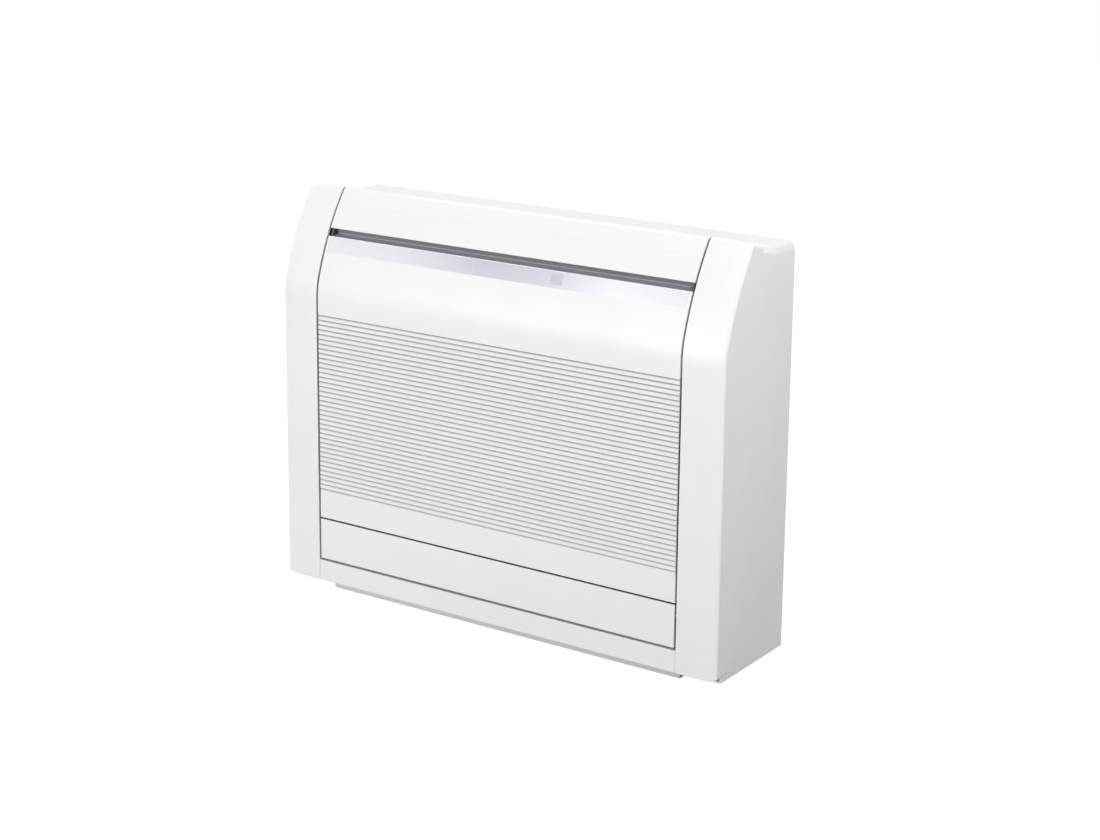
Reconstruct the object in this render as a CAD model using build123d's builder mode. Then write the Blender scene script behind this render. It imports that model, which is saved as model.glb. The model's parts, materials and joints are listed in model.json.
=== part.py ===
"""Floor standing air conditioner: a low indoor console with a slotted front panel, an outlet at the top
under a swinging louver and a second outlet at the bottom behind a flap.

Millimetres. X runs along the width, Y from the front to the wall, Z up. The origin is the middle of the
footprint on the floor.
"""

from build123d import *
from math import asin, cos, degrees, hypot, radians, sin, sqrt, tan
import os

os.makedirs("parts", exist_ok=True)

# ---------------------------------------------------------------- overall size
width = 740.0
depth = 200.0
height = 600.0

# ---------------------------------------------------------------- allowances
cut_past = 1.0                # cutting shapes run this far past what they cut
root = 0.4                    # ribs, lugs and pins reach this far into what they stand on
touch = 0.3                   # air between fixed inner parts
seam = 0.6                    # between two fixed covers
side_gap = 3.0                # between the moving fronts and the side covers
running_gap = 0.8             # between a moving part and what it passes
pin_clearance = 0.05          # radial, pins in their eyes
near = 0.01                   # tolerance of the edge selectors

# ---------------------------------------------------------------- front outline, seen from the side
crown_rise = 155.0            # from the top down to where the front face starts to lean back
shoulder_radius = 120.0
shoulder_turn = 17.0          # degrees turned by the tight arc
crown_radius = 406.0          # long arc of the display band and the louver
crest_radius = 8.0            # rounding at the very top, and barrel of the louver
top_slope = 13.5              # degrees, top face falling towards the wall
top_flat_depth = 50.0         # level strip of the top along the wall

# ---------------------------------------------------------------- walls
wall = 2.4                    # moulded covers
panel_wall = 3.2              # slotted front panel
plate = 3.0                   # inner partitions
edge_round = 0.9              # rounded outer edges of the fronts

# ---------------------------------------------------------------- front pieces, heights above the floor
side_cover_width = 64.5       # from the middle of the side gap to the side
front_bottom = 18.5
bar_height = 31.0
flap_gap = 3.5
flap_height = 60.7
panel_gap = 2.6
sill_drop = 65.2              # top down to the upper edge of the front panel
louver_drop = 54.4            # top down to the lower edge of the louver

# ---------------------------------------------------------------- bottom bar
bar_return = 17.0             # depth of its upper edge
bar_floor_depth = 30.0        # depth of its lower edge
bar_web_places = (-240.0, -120.0, 0.0, 120.0, 240.0)
bar_web_width = 2.0

# ---------------------------------------------------------------- side covers
cheek_radius = 90.0           # gentle turn of the front face towards the side
cheek_turn = 14.0             # degrees
cheek_corner = 4.0            # tight corner between front and side
cheek_steps = 4               # sections through each of the two turns
band_depth = 41.5             # depth of the cover's side
band_lean = 21.3              # degrees, slanted upper part of the band's rear edge
band_bend_drop = 142.0        # top down to the bend of the rear edge
band_bend_radius = 60.0
band_top_drop = 10.0          # top down to the end of the slanted edge
cover_foot_radius = 9.0       # rounded lower corners
cover_flange = 4.0            # depth of the cover's edge along the side gap
cover_back_open = 6.0         # the cover is open from this far in front of its rear edge
cover_pad_heights = (80.0, 240.0, 400.0)
cover_pad_height = 16.0
cover_pad_depth = 5.0
cover_pad_setback = 2.0       # behind the casing's front edge

# ---------------------------------------------------------------- casing
casing_inset = 10.0           # casing side behind the cover's side
casing_bottom = 6.0
casing_wall = 2.5
casing_back_wall = 3.0
casing_front_setback = 30.0   # from the front face to the casing's front edge
casing_corner = 12.0          # rounded long edges of the top
casing_top_depth = 14.0       # how far the top piece comes down the sides and the back
casing_tuck = 10.0            # how far the casing's sides run in under the covers at the top
casing_tuck_setback = 2.0
casing_tuck_drop = 20.0
casing_back_chamfer = 1.2
back_rib_places = (-200.0, -100.0, 100.0, 200.0)
back_rib_width = 4.0
back_rib_depth = 2.0
back_rib_margin = 8.0
back_field = (width - 140.0, height - 220.0)   # shallow field pressed into the outside of the back
back_field_z = height / 2 + 30.0
back_field_depth = 0.8
back_field_corner = 20.0
wall_screw_spacing_x = width - 80.0
wall_screw_spacing_z = height - 200.0
wall_screw_low_z = 140.0
wall_screw_radius = 3.0
pipe_window_x = 39.0 - width / 2
pipe_window_width = 48.0
pipe_window_height = 92.0
pipe_window_low_z = 20.0
pipe_window_corner = 6.0

# ---------------------------------------------------------------- plinth
plinth_half_width = width / 2 - 71.0
plinth_setback = 29.0
plinth_back_setback = 12.0
plinth_lip = 10.0             # height of the plinth's front above the casing's floor
plinth_wall = 3.0
plinth_rim = 12.0
plinth_top_wall = 2.0
plinth_edge = 0.8

# ---------------------------------------------------------------- front panel
slot_count = 38
lowest_slot_z = 159.5
highest_slot_drop = 178.91    # top down to the highest slot
slot_pitch = (height - highest_slot_drop - lowest_slot_z) / (slot_count - 1)
slot_mouth = 3.4              # height of a groove at the front
slot_throat = 1.6             # height where it runs through
slot_rise = 1.85              # the throat's middle lies this far above the mouth's
slot_groove_depth = 1.9
bay_count = 4
bay_pitch = (width - 140.0) / bay_count   # distance between the upright ribs behind the slots
rib_width = 3.0
panel_rib_depth = 5.0
cross_rib_width = 2.0
panel_low_rib_rise = 16.0
panel_high_rib_rise = 12.0    # above the highest slot
rib_side_gap = 4.0            # cross ribs end this far from the hinge lugs
tongue_places = (-200.0, 200.0)
tongue_drop = 97.0            # top down to the tongues that snap into the catches
tongue_setback = 16.0
tongue_length = 11.0
tongue_width = 16.0
tongue_thickness = 3.0

# ---------------------------------------------------------------- display strip
strip_height = 22.1           # measured in height
strip_thickness = 0.9
strip_margin = 3.0            # at both ends
strip_top_margin = 1.2
lamp_radius = 1.6
lamp_positions = (-43.0, 4.0, 54.0)
window_x = 96.0
window_width = 19.0
window_height = 14.0
window_corner = 1.5
lens_play = 0.05

# ---------------------------------------------------------------- hinges
hinge_setback = 6.5           # from the front face to the axes of panel and flap
flap_axis_drop = 16.0         # below the flap's upper edge, so that it clears the tipped panel
panel_axis_rise = 4.7         # above the panel's lower edge
front_pin_radius = 2.0
front_eye_radius = 3.0        # bulkhead left round the pins of panel and flap
lug_width = 7.5
lug_radius = 3.4
lug_side_gap = 0.5            # between a lug and its bulkhead
pin_setback = 0.1             # pins end this far inside the bulkhead's outer face
notch_depth = 22.5            # of the bulkhead's notch between panel and flap
notch_front = 4.0             # of that, in front of the front face

# ---------------------------------------------------------------- louver and flap
louver_wall = 2.5
louver_pin_radius = 2.5
louver_lug_wall = 2.5
louver_web_height = 12.0
louver_web_crest = 8.0
louver_web_depth = 2.0
crease_drop = 23.0            # top down to the fine crease along the louver
crease_depth = 0.5
crease_half_height = 0.7
louver_rib_places = (-150.0, 0.0, 150.0)
louver_rib_width = 2.0
louver_rib_depth = 4.0
louver_rib_margin = 4.0
flap_wall = 2.4
flap_front_round = 1.0
flap_rib_depth = 4.0
flap_rib_width = 1.6
flap_low_rib_rise = 14.0
flap_high_rib_drop = 16.0

# ---------------------------------------------------------------- bulkheads
bulkhead_inner = width / 2 - 70.0   # half the inner width of the air path
bulkhead_edge = 3.4           # bulkhead edge behind the front outline
bulkhead_foot_drop = 1.5      # its front corner below the flap's lower edge
bulkhead_bar_gap = 4.0        # behind the bottom bar
eye_arm = 14.3                # arm that carries the louver's eye
cable_hole = (depth / 2 - 40.0, height - 130.0)   # y, z
cable_hole_radius = 6.0
pipe_play = 1.0

# ---------------------------------------------------------------- heat exchanger
coil_half_width = width / 2 - 100.0
coil_low_z = 136.0
coil_high_z = height - 106.0
coil_front_y = 16.0 - depth / 2
coil_thickness = 34.0
fin_thickness = 1.2
fin_pitch = 6.0
fin_web = 2.0
end_plate_thickness = 1.2
end_plate_margin = 1.0        # past the fins, front and back
end_plate_foot = 2.0          # past the fins, below
ear_height = 16.0
ear_inset = 20.0
tube_radius = 3.5
tube_rows = 12
tube_bend_radius = 7.5
tube_stub = 2.5

# ---------------------------------------------------------------- fan orifice plate
partition_y = 56.5 - depth / 2   # front face of the fan orifice plate
partition_wall = 2.5
partition_low_z = 118.0
partition_high_z = height - 100.3
orifice_radius = 97.0
orifice_mouth_radius = 14.0
orifice_collar = 2.0
orifice_wall = 2.2

# ---------------------------------------------------------------- fan and its motor
fan_z = height / 2 + 10.0
fan_radius = 145.0
fan_eye_radius = 101.0
fan_front_y = 70.0 - depth / 2
fan_back_y = 134.0 - depth / 2
shroud_depth = 19.0
shroud_wall = 2.2
shroud_sag = 5.5
fan_disc_wall = 2.4
fan_blade_count = 7
fan_blade_thickness = 2.5
blade_front_setback = 15.5
blade_back_setback = 1.0
blade_inner_radius = 84.0
blade_middle = (124.5, 12.0)  # radius and degrees
blade_outer = (143.5, 29.7)
hub_setback = 22.0
hub_radius = 14.0
hub_length = 14.0
hub_wall = 3.0
cone_knee_radius = 38.0
cone_knee_depth = 12.0
cone_radius = 54.0
shaft_radius = 4.0
shaft_fit = 0.02
shaft_nose = 10.0
shaft_end_setback = 6.0
nut_height = 7.0
nut_radius = 7.5
motor_radius = 48.0
motor_front_y = 140.0 - depth / 2
motor_back_y = 184.0 - depth / 2
motor_boss_radius = 21.6
motor_boss_depth = 6.0
motor_edge = 1.5
motor_post_spacing = 118.0    # posts on the back that carry the motor's bracket
motor_post_radius = 7.0
bracket_thickness = 2.0
bracket_rim = 6.0
bracket_arm_width = 22.0
bracket_arm_end = 12.0

# ---------------------------------------------------------------- pan-head screws
screw_radius = 1.9
screw_head_radius = 4.0
screw_head_height = 2.4
screw_length = 10.0
screw_play = 0.1

# ---------------------------------------------------------------- air guides
guide_wall = 3.0
guide_back_gap = 1.5
upper_guide_front = 14.0      # behind the louver's axis
upper_guide_low_z = height - 170.0   # where it meets the back
upper_guide_sag = 36.0
lower_guide_rear_z = 190.0    # where it meets the back
lower_guide_sag = 40.7
guide_nose_gap = 4.6          # behind the bottom bar's upper edge
guide_nose_rise = 1.6
guide_leg_places = (-180.0, 0.0, 180.0)
guide_leg_width = 3.0
guide_leg_y = (34.0 - depth / 2, 56.0 - depth / 2)

# ---------------------------------------------------------------- sill under the upper outlet
sill_wall = 1.9
ledge_rise = 1.0              # above the panel's upper edge, measured on the outer face
ledge_inset = 4.2
ledge_share = 0.37            # where the ledge meets the riser, from the riser's top to the knee
riser_rise = 15.7             # above the panel's upper edge, measured on the outer face
riser_inset = 6.4
sill_knee_reach = 9.1         # in front of the partition
sill_knee_rise = 16.0         # above the sill's foot
sill_foot_rise = 4.0
board_holder_places = (-56.0, 110.0)
board_holder_width = 4.0

# ---------------------------------------------------------------- vanes in the upper throat
vane_count = 8
vane_pitch = (width - 196.0) / vane_count
vane_thickness = 1.6
vane_front_y = 52.0 - depth / 2
vane_back_y = 106.0 - depth / 2
vane_low_z = height - 86.0
vane_high_z = height - 44.0
vane_axis_z = height - 70.0
vane_nose_low = 5.0           # front edge, below the axis
vane_front_cut = (8.0, 6.0)
vane_back_cut = 12.0
vane_foot_cut = 14.0
vane_pin_radius = 1.6
vane_pin_length = 9.5
vane_pin_root = 6.0
link_arm = 12.0               # from the vane's axis down to the link bar
link_pin_radius = 1.2
link_pin_root = 5.0
link_pin_past = 1.5
link_gap = 1.0
link_width = 10.0
link_thickness = 2.5
link_end = 8.0
link_slot_play = 0.4
link_slot_rise = 2.0

# ---------------------------------------------------------------- swing motors of louver and flap
swing_motor_offset = 8.0      # from the hinge axis to the motor's middle
louver_motor_turn = -69.5     # degrees, from the hinge axis to the motor
swing_neck_radius = 7.0
swing_motor_radius = 11.3
swing_motor_length = 15.0
swing_motor_edge = 1.2

# ---------------------------------------------------------------- pipes and drain
gas_x = 27.0 - width / 2
gas_start_z = height - 170.0
gas_z = 92.0
gas_tube_radius = 4.76
gas_thread_radius = 7.94
gas_nut_radius = 11.0
liquid_x = 39.0 - width / 2
liquid_start_z = 180.0
liquid_z = 66.0
liquid_tube_radius = 3.175
liquid_thread_radius = 5.56
liquid_nut_radius = 8.5
pipe_reach = 24.0             # from the coil to the pipe's start
pipe_bend = 14.0
union_setback = 4.0           # behind the outside of the back
thread_length = 12.0
union_nut_length = 11.0
union_bore_share = 0.72       # of the tube's radius
union_bore_depth = 6.0
union_socket = (14.0, 9.0)    # the tube's seat, in front of the thread
union_fit = 0.02
flare_depth = 0.8
union_socket_play = 0.5       # between the pipe's end and the bottom of its socket
drain_x = 52.5 - width / 2
drain_z = 38.0
drain_radius = 8.0
drain_tube_radius = 6.0
drain_bore = 5.0
drain_bend = 9.0
drain_spigot_length = 26.0
pan_low_z = 118.5
pan_wall = 2.0
pan_setback = 14.0            # behind the front face
pan_coil_gap = 3.0
pan_web_places = (-200.0, 0.0, 200.0)
pan_web_width = 2.0

# ---------------------------------------------------------------- filters
filter_setback = 9.5
filter_thickness = 2.5
filter_low_rise = 6.0         # above the coil's foot
filter_high_drop = 34.0
filter_left_margin = 3.0
filter_seam_x = -18.0
filter_seam_half = 0.5
filter_right_x = width / 2 - 112.0
filter_rim = 7.0
filter_rows = 4
filter_columns = 3
filter_bar = 3.0
net_seat = (1.5, 0.9)         # margin and depth of the net's seat
net_thickness = 0.6
net_play = 0.2
rail_places = (85.0 - width / 2, filter_seam_x, width / 2 - 125.0)
rail_width = 8.0
rail_height = 40.0
rail_low_rise = 30.0
rail_high_drop = 60.0

# ---------------------------------------------------------------- catches
catch_mouth_setback = 21.0
catch_wall = 2.5
catch_slope = 4.2
catch_side = 3.0              # wider than the tongue, on each side
tongue_play_low = 0.5
tongue_play_high = 1.4
tongue_play_end = 3.0

# ---------------------------------------------------------------- indicator board
board_thickness = 1.6
board_depth = 8.5             # back of the board behind the display strip
board_margin = 20.0
board_height = 15.0
board_drop = 1.0
lamp_chip = 3.0
lamp_chip_height = 2.3
receiver_chip = (9.0, 7.0)

# ---------------------------------------------------------------- controls behind the panel
control_gap = 4.0             # beside the right-hand filter
control_low_z = 190.0
control_high_z = height - 280.0
control_setback = 10.0
control_wall = 2.0
control_side_depth = 44.0
button_drop = 26.0
button_radius = 5.0
button_travel = 1.5
button_proud = button_travel + 0.7
button_flange = 1.4
button_edge = 0.5
switch_rise = 40.0
switch_travel = 6.0
switch_knob = (6.0, 8.0)      # width and height
switch_flange = (11.0, 13.0)
switch_proud = 1.8
slide_clear = 0.25

# ---------------------------------------------------------------- electrics in the right-hand compartment
box_side_gap = 6.0
box_y = (70.0 - depth / 2, depth / 2 - 38.0)
box_z = (190.0, height - 160.0)
box_wall = 1.2
box_cover_gap = 0.1
box_lip_depth = 8.0
box_screw_inset = (4.7, 14.0) # x, z
box_boss_radius = 4.0
box_boss_length = 11.0
circuit_gap = 6.0             # board off the box's wall
circuit_low_rise = 60.0
circuit_margin = 12.0
post_radius = 2.5
post_inset = 4.0
circuit_parts = (             # y, z, depth, height, how far it stands out
    (7.0, height - 292.0, 30.0, 36.0, 22.0),
    (39.0, height - 239.0, 22.0, 22.0, 14.0),
    (1.0, height - 209.0, 22.0, 22.0, 9.0),
)
can_places = ((34.0, height - 300.0), (46.0, height - 300.0))
can_radius = 5.5
can_height = 20.0
terminal_y = (-14.0, 46.0)
terminal_z = (204.0, 226.0)
terminal_depth = 18.0
terminal_count = 4
terminal_pitch = 15.0
terminal_screw_radius = 3.2
terminal_screw_height = 2.2
terminal_slot = (11.0, 7.0, 4.0)
gland_x = width / 2 - 40.0
gland_z = 60.0
gland_radius = 7.0
gland_bore = 4.2
gland_play = 0.1
gland_flange = 3.0
gland_inside = 6.0
gland_outer_setback = 0.2
sensor_place = (width / 2 - 56.0, 36.0 - depth / 2)   # x, y
sensor_z = 120.0
sensor_size = (8.0, 8.0, 20.0)
sensor_bead_radius = 2.2
sensor_bead_height = 12.0

# ================================================================ derived places
half_width = width / 2
front_y = -depth / 2
back_y = depth / 2
gap_x = half_width - side_cover_width
moving_half = gap_x - side_gap / 2
cover_inner_x = gap_x + side_gap / 2
fixed_half = cover_inner_x - seam
casing_half = half_width - casing_inset
casing_inner_half = casing_half - casing_wall
back_plate_y = back_y - casing_back_wall
bulkhead_outer = bulkhead_inner + plate
inner_half = bulkhead_inner - touch

bar_top = front_bottom + bar_height
flap_bottom = bar_top + flap_gap
flap_top = flap_bottom + flap_height
panel_bottom = flap_top + panel_gap
panel_top = height - sill_drop
louver_bottom = height - louver_drop
strip_bottom = panel_top - strip_height
strip_top = panel_top - strip_top_margin

flap_axis = (front_y + hinge_setback, flap_top - flap_axis_drop)
panel_axis = (front_y + hinge_setback, panel_bottom + panel_axis_rise)

shoulder_z = height - crown_rise
shoulder_center = (front_y + shoulder_radius, shoulder_z)
turn = radians(shoulder_turn)
crown_center = (
    shoulder_center[0] + (crown_radius - shoulder_radius) * cos(turn),
    shoulder_center[1] - (crown_radius - shoulder_radius) * sin(turn),
)
louver_axis_z = height - crest_radius
louver_axis = (
    crown_center[0]
    - sqrt((crown_radius - crest_radius) ** 2 - (louver_axis_z - crown_center[1]) ** 2),
    louver_axis_z,
)
crest_lean = degrees(asin((louver_axis_z - crown_center[1]) / (crown_radius - crest_radius)))
crest_z = crown_center[1] + crown_radius * sin(radians(crest_lean))
slope = radians(top_slope)
slope_start = (louver_axis[0] + crest_radius * sin(slope), louver_axis[1] + crest_radius * cos(slope))
slope_end_y = back_y - top_flat_depth

bend_z = height - band_bend_drop
cover_rear_top_y = front_y + band_depth + (band_bend_drop - band_top_drop) * tan(radians(band_lean))
casing_front_y = front_y + casing_front_setback

coil_back_y = coil_front_y + coil_thickness
header_y = (coil_front_y + coil_back_y) / 2
drain_start_z = pan_low_z + pan_wall + drain_bore + root
union_back_y = back_y - union_setback
union_nut_y = union_back_y - thread_length
hub_front_y = fan_front_y + hub_setback
fan_axis = Axis((0, 0, fan_z), (0, 1, 0))


def on_arc(center, radius, angle):
    """Point (y, z) on a circle seen from the side, angle in degrees from +Y towards +Z."""
    return (center[0] + radius * cos(radians(angle)), center[1] + radius * sin(radians(angle)))


def between(start, end, share):
    """Point on the straight line from start to end."""
    return (start[0] + (end[0] - start[0]) * share, start[1] + (end[1] - start[1]) * share)


def bowed(start, end, sag):
    """Middle of an arc from start to end that bows by sag to the right of that way."""
    length = hypot(end[0] - start[0], end[1] - start[1])
    middle = between(start, end, 0.5)
    return (
        middle[0] + sag * (end[1] - start[1]) / length,
        middle[1] - sag * (end[0] - start[0]) / length,
    )


def lean_at(outer_z):
    """Lean of the crown in degrees where its outer face is at the height outer_z."""
    return degrees(asin((outer_z - crown_center[1]) / crown_radius))


def crown_point(outer_z, inset=0.0):
    """Point (y, z) square to the crown's face at the height outer_z, inset into the casing."""
    return on_arc(crown_center, crown_radius - inset, 180 - lean_at(outer_z))


def crest_middle(radius):
    """Middle of the rounding over the crest, at a radius round the louver's axis."""
    return on_arc(louver_axis, radius, (270 - crest_lean - top_slope) / 2)


def crest_end(radius):
    """End of the rounding over the crest, where the sloping top begins."""
    return on_arc(louver_axis, radius, 90 - top_slope)


def top_z(y, inset=0.0):
    """Height of the top face at y, with inset measured square to the slope."""
    run = min(y, slope_end_y) - slope_start[0]
    return slope_start[1] - run * tan(slope) - inset / cos(slope)


def top_point(y, inset=0.0):
    """Point (y, z) under the top face."""
    return (y, top_z(y, inset))


def front_edges(inset, low_z, outer_z):
    """Front outline from low_z up to the crown at outer_z, moved in by inset. Returns both ends."""
    foot = (front_y + inset, low_z)
    knee = (front_y + inset, shoulder_z)
    bent = on_arc(shoulder_center, shoulder_radius - inset, 180 - shoulder_turn / 2)
    join = on_arc(shoulder_center, shoulder_radius - inset, 180 - shoulder_turn)
    middle_lean = (shoulder_turn + lean_at(outer_z)) / 2
    middle = on_arc(crown_center, crown_radius - inset, 180 - middle_lean)
    end = crown_point(outer_z, inset)
    Line(foot, knee)
    ThreePointArc(knee, bent, join)
    ThreePointArc(join, middle, end)
    return foot, end


def crown_edge(inset, low_z, high_z):
    """Arc of the crown alone, between two outer heights."""
    middle = on_arc(crown_center, crown_radius - inset, 180 - (lean_at(low_z) + lean_at(high_z)) / 2)
    ThreePointArc(crown_point(low_z, inset), middle, crown_point(high_z, inset))


def crown_band(outer_inset, inner_inset, low, high):
    """Closed strip along the crown; low and high are its outer heights at the outer and the inner edge."""
    crown_edge(outer_inset, low[0], high[0])
    crown_edge(inner_inset, low[1], high[1])
    Line(crown_point(low[0], outer_inset), crown_point(low[1], inner_inset))
    Line(crown_point(high[0], outer_inset), crown_point(high[1], inner_inset))


def block(x_range, y_range, z_range, mode=Mode.ADD):
    """Box given by its two corners, in the part being built."""
    middle = [(low + high) / 2 for low, high in (x_range, y_range, z_range)]
    with Locations(tuple(middle)):
        Box(
            x_range[1] - x_range[0],
            y_range[1] - y_range[0],
            z_range[1] - z_range[0],
            mode=mode,
        )


def rod_x(place, radius, x_range, mode=Mode.ADD):
    """Cylinder along X at the place (y, z)."""
    with BuildSketch(Plane.YZ.offset(x_range[0])) as section:
        with Locations(place):
            Circle(radius)
    extrude(section.sketch, amount=x_range[1] - x_range[0], mode=mode)


def rod_y(place, radius, y_range, mode=Mode.ADD):
    """Cylinder along Y at the place (x, z)."""
    with BuildSketch(Plane.XZ.offset(-y_range[1])) as section:
        with Locations(place):
            Circle(radius)
    extrude(section.sketch, amount=y_range[1] - y_range[0], mode=mode)


def rod_z(place, radius, z_range, mode=Mode.ADD):
    """Cylinder along Z at the place (x, y)."""
    with BuildSketch(Plane.XY.offset(z_range[0])) as section:
        with Locations(place):
            Circle(radius)
    extrude(section.sketch, amount=z_range[1] - z_range[0], mode=mode)


def side_plate(points, x_range, mode=Mode.ADD):
    """Straight-sided outline (y, z) pushed along X."""
    with BuildSketch(Plane.YZ.offset(x_range[0])) as section:
        with BuildLine():
            Polyline(*points, close=True)
        make_face()
    extrude(section.sketch, amount=x_range[1] - x_range[0], mode=mode)


def both_ways(half):
    """Range of X over both sides of the middle."""
    return (-half, half)


def mirrored(side, near_x, far_x):
    """Range of X on one side of the middle; side is -1 or 1."""
    return tuple(sorted((side * near_x, side * far_x)))


def wide(middle, size):
    """Range of the given size round a middle."""
    return (middle - size / 2, middle + size / 2)


def cut_through(y_range):
    """The same range, run past both ends for a cut."""
    return (y_range[0] - cut_past, y_range[1] + cut_past)


def save(builder, name):
    """Label a finished piece and write it."""
    builder.part.label = name
    export_step(builder.part, f"parts/{name}.step")


# ================================================================ casing, made as one shell and then parted
step_down = wall + seam
joint_y = cover_rear_top_y + seam


def upper_edge(inset, rear_y):
    """Casing's back and top seen from the side, up to the joint with the side covers."""
    return [
        (rear_y, top_z(back_y, inset)),
        top_point(slope_end_y, inset),
        top_point(joint_y, inset),
    ]


def long_top_edges(part, half):
    """The long edges of the top at both sides of a part that reaches to the given half width."""
    return part.edges().filter_by(
        lambda edge: abs(abs(edge.center().X) - half) < near
        and edge.center().Z > top_z(back_y, 2 * casing_wall)
        and abs(edge.tangent_at(0.5).Y) > cos(2 * slope)
        and edge.center().Y > joint_y
    )


with BuildPart() as casing_cavity:
    floor_z = casing_bottom + casing_wall
    side_plate(
        [(joint_y, floor_z), (back_plate_y, floor_z)] + upper_edge(casing_wall, back_plate_y),
        both_ways(casing_inner_half),
    )
    fillet(long_top_edges(casing_cavity, casing_inner_half), radius=casing_corner - casing_wall)
    # ahead of the joint the casing is open upwards and to the front
    block(both_ways(casing_inner_half), (front_y - cut_past, joint_y), (floor_z, height + cut_past))

with BuildPart() as casing_shell:
    side_plate(
        [(casing_front_y, casing_bottom), (back_y, casing_bottom)]
        + upper_edge(0.0, back_y)
        + [
            top_point(joint_y, step_down),
            top_point(cover_rear_top_y - casing_tuck, step_down),
            (casing_front_y + casing_tuck_setback, bend_z),
            (casing_front_y, bend_z - casing_tuck_drop),
        ],
        both_ways(casing_half),
    )
    fillet(long_top_edges(casing_shell, casing_half), radius=casing_corner)
    upright_back_edges = casing_shell.edges().filter_by(
        lambda edge: edge.center().Y > back_y - near and abs(edge.center().X) > casing_half - near
    )
    chamfer(upright_back_edges, length=casing_back_chamfer)
    add(casing_cavity.part, mode=Mode.SUBTRACT)
    rod_x(louver_axis, crest_radius + running_gap, both_ways(half_width), mode=Mode.SUBTRACT)

above_joint = [
    top_point(casing_front_y - cut_past, casing_top_depth),
    top_point(slope_end_y, casing_top_depth),
    top_point(back_y + cut_past, casing_top_depth),
    (back_y + cut_past, height + cut_past),
    (casing_front_y - cut_past, height + cut_past),
]

with BuildPart() as casing_top:
    add(casing_shell.part)
    side_plate(above_joint, both_ways(half_width), mode=Mode.INTERSECT)
    # tongue between the side covers, ending at the louver's barrel
    tongue_rear_y = joint_y + 2 * casing_wall
    side_plate(
        [
            top_point(louver_axis[0]),
            top_point(tongue_rear_y),
            top_point(tongue_rear_y, casing_wall),
            top_point(louver_axis[0], casing_wall),
        ],
        both_ways(fixed_half),
    )
    rod_x(louver_axis, crest_radius + running_gap, both_ways(half_width), mode=Mode.SUBTRACT)
save(casing_top, "casing_top")

with BuildPart() as right_casing_side:
    add(casing_shell.part)
    side_plate(above_joint, both_ways(half_width), mode=Mode.SUBTRACT)
    block((casing_inner_half, half_width), (front_y, back_plate_y), (0.0, height), mode=Mode.INTERSECT)
save(right_casing_side, "right_casing_side")

with BuildPart() as left_casing_side:
    mirror(right_casing_side.part, about=Plane.YZ)
save(left_casing_side, "left_casing_side")

with BuildPart() as casing_back:
    add(casing_shell.part)
    side_plate(above_joint, both_ways(half_width), mode=Mode.SUBTRACT)
    block(both_ways(half_width), (back_plate_y, back_y), (0.0, height), mode=Mode.INTERSECT)
    # shallow field pressed into the outside
    with BuildSketch(Plane.XZ.offset(-back_y)):
        with Locations((0.0, back_field_z)):
            RectangleRounded(back_field[0], back_field[1], back_field_corner)
    extrude(amount=back_field_depth, mode=Mode.SUBTRACT)
    # stiffening ribs on the inside
    for rib_x in back_rib_places:
        block(
            wide(rib_x, back_rib_width),
            (back_plate_y - back_rib_depth, back_plate_y + root),
            (lower_guide_rear_z + back_rib_margin, upper_guide_low_z - back_rib_margin),
        )
    # posts for the motor's bracket
    post_front_y = motor_back_y + bracket_thickness
    with BuildSketch(Plane.XZ.offset(-back_plate_y - root)):
        with Locations((0.0, fan_z)):
            with GridLocations(motor_post_spacing, motor_post_spacing, 2, 2):
                Circle(motor_post_radius)
    extrude(amount=back_plate_y + root - post_front_y)
    with BuildSketch(Plane.XZ.offset(-back_plate_y)):
        with Locations((0.0, fan_z)):
            with GridLocations(motor_post_spacing, motor_post_spacing, 2, 2):
                Circle(screw_radius + screw_play)
    extrude(amount=back_plate_y - post_front_y, mode=Mode.SUBTRACT)
    # window for the pipes, screw holes for the wall and the hole of the cable gland
    with BuildSketch(Plane.XZ.offset(-back_y)):
        with Locations((pipe_window_x, pipe_window_low_z + pipe_window_height / 2)):
            RectangleRounded(pipe_window_width, pipe_window_height, pipe_window_corner)
        with Locations((0.0, wall_screw_low_z + wall_screw_spacing_z / 2)):
            with GridLocations(wall_screw_spacing_x, wall_screw_spacing_z, 2, 2):
                Circle(wall_screw_radius)
        with Locations((gland_x, gland_z)):
            Circle(gland_radius + gland_play)
    extrude(amount=casing_back_wall, mode=Mode.SUBTRACT)
save(casing_back, "casing_back")

# ================================================================ plinth with the casing's floor
with BuildPart() as base_plinth:
    plinth_y = (front_y + plinth_setback, back_y - plinth_back_setback)
    block(both_ways(plinth_half_width), plinth_y, (0.0, casing_bottom))
    block(
        both_ways(plinth_half_width - plinth_rim),
        (plinth_y[0] + plinth_rim, plinth_y[1] - plinth_rim),
        (-cut_past, casing_bottom - plinth_top_wall),
        mode=Mode.SUBTRACT,
    )
    block(
        both_ways(plinth_half_width),
        (plinth_y[0] - plinth_wall, plinth_y[0]),
        (0.0, casing_bottom + plinth_lip),
    )
    block(both_ways(casing_inner_half), (casing_front_y, back_plate_y), (casing_bottom, floor_z))
    fillet(base_plinth.edges().filter_by(Axis.X).group_by(Axis.Z)[-1], radius=plinth_edge)
save(base_plinth, "base_plinth")

# ================================================================ side covers


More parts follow.
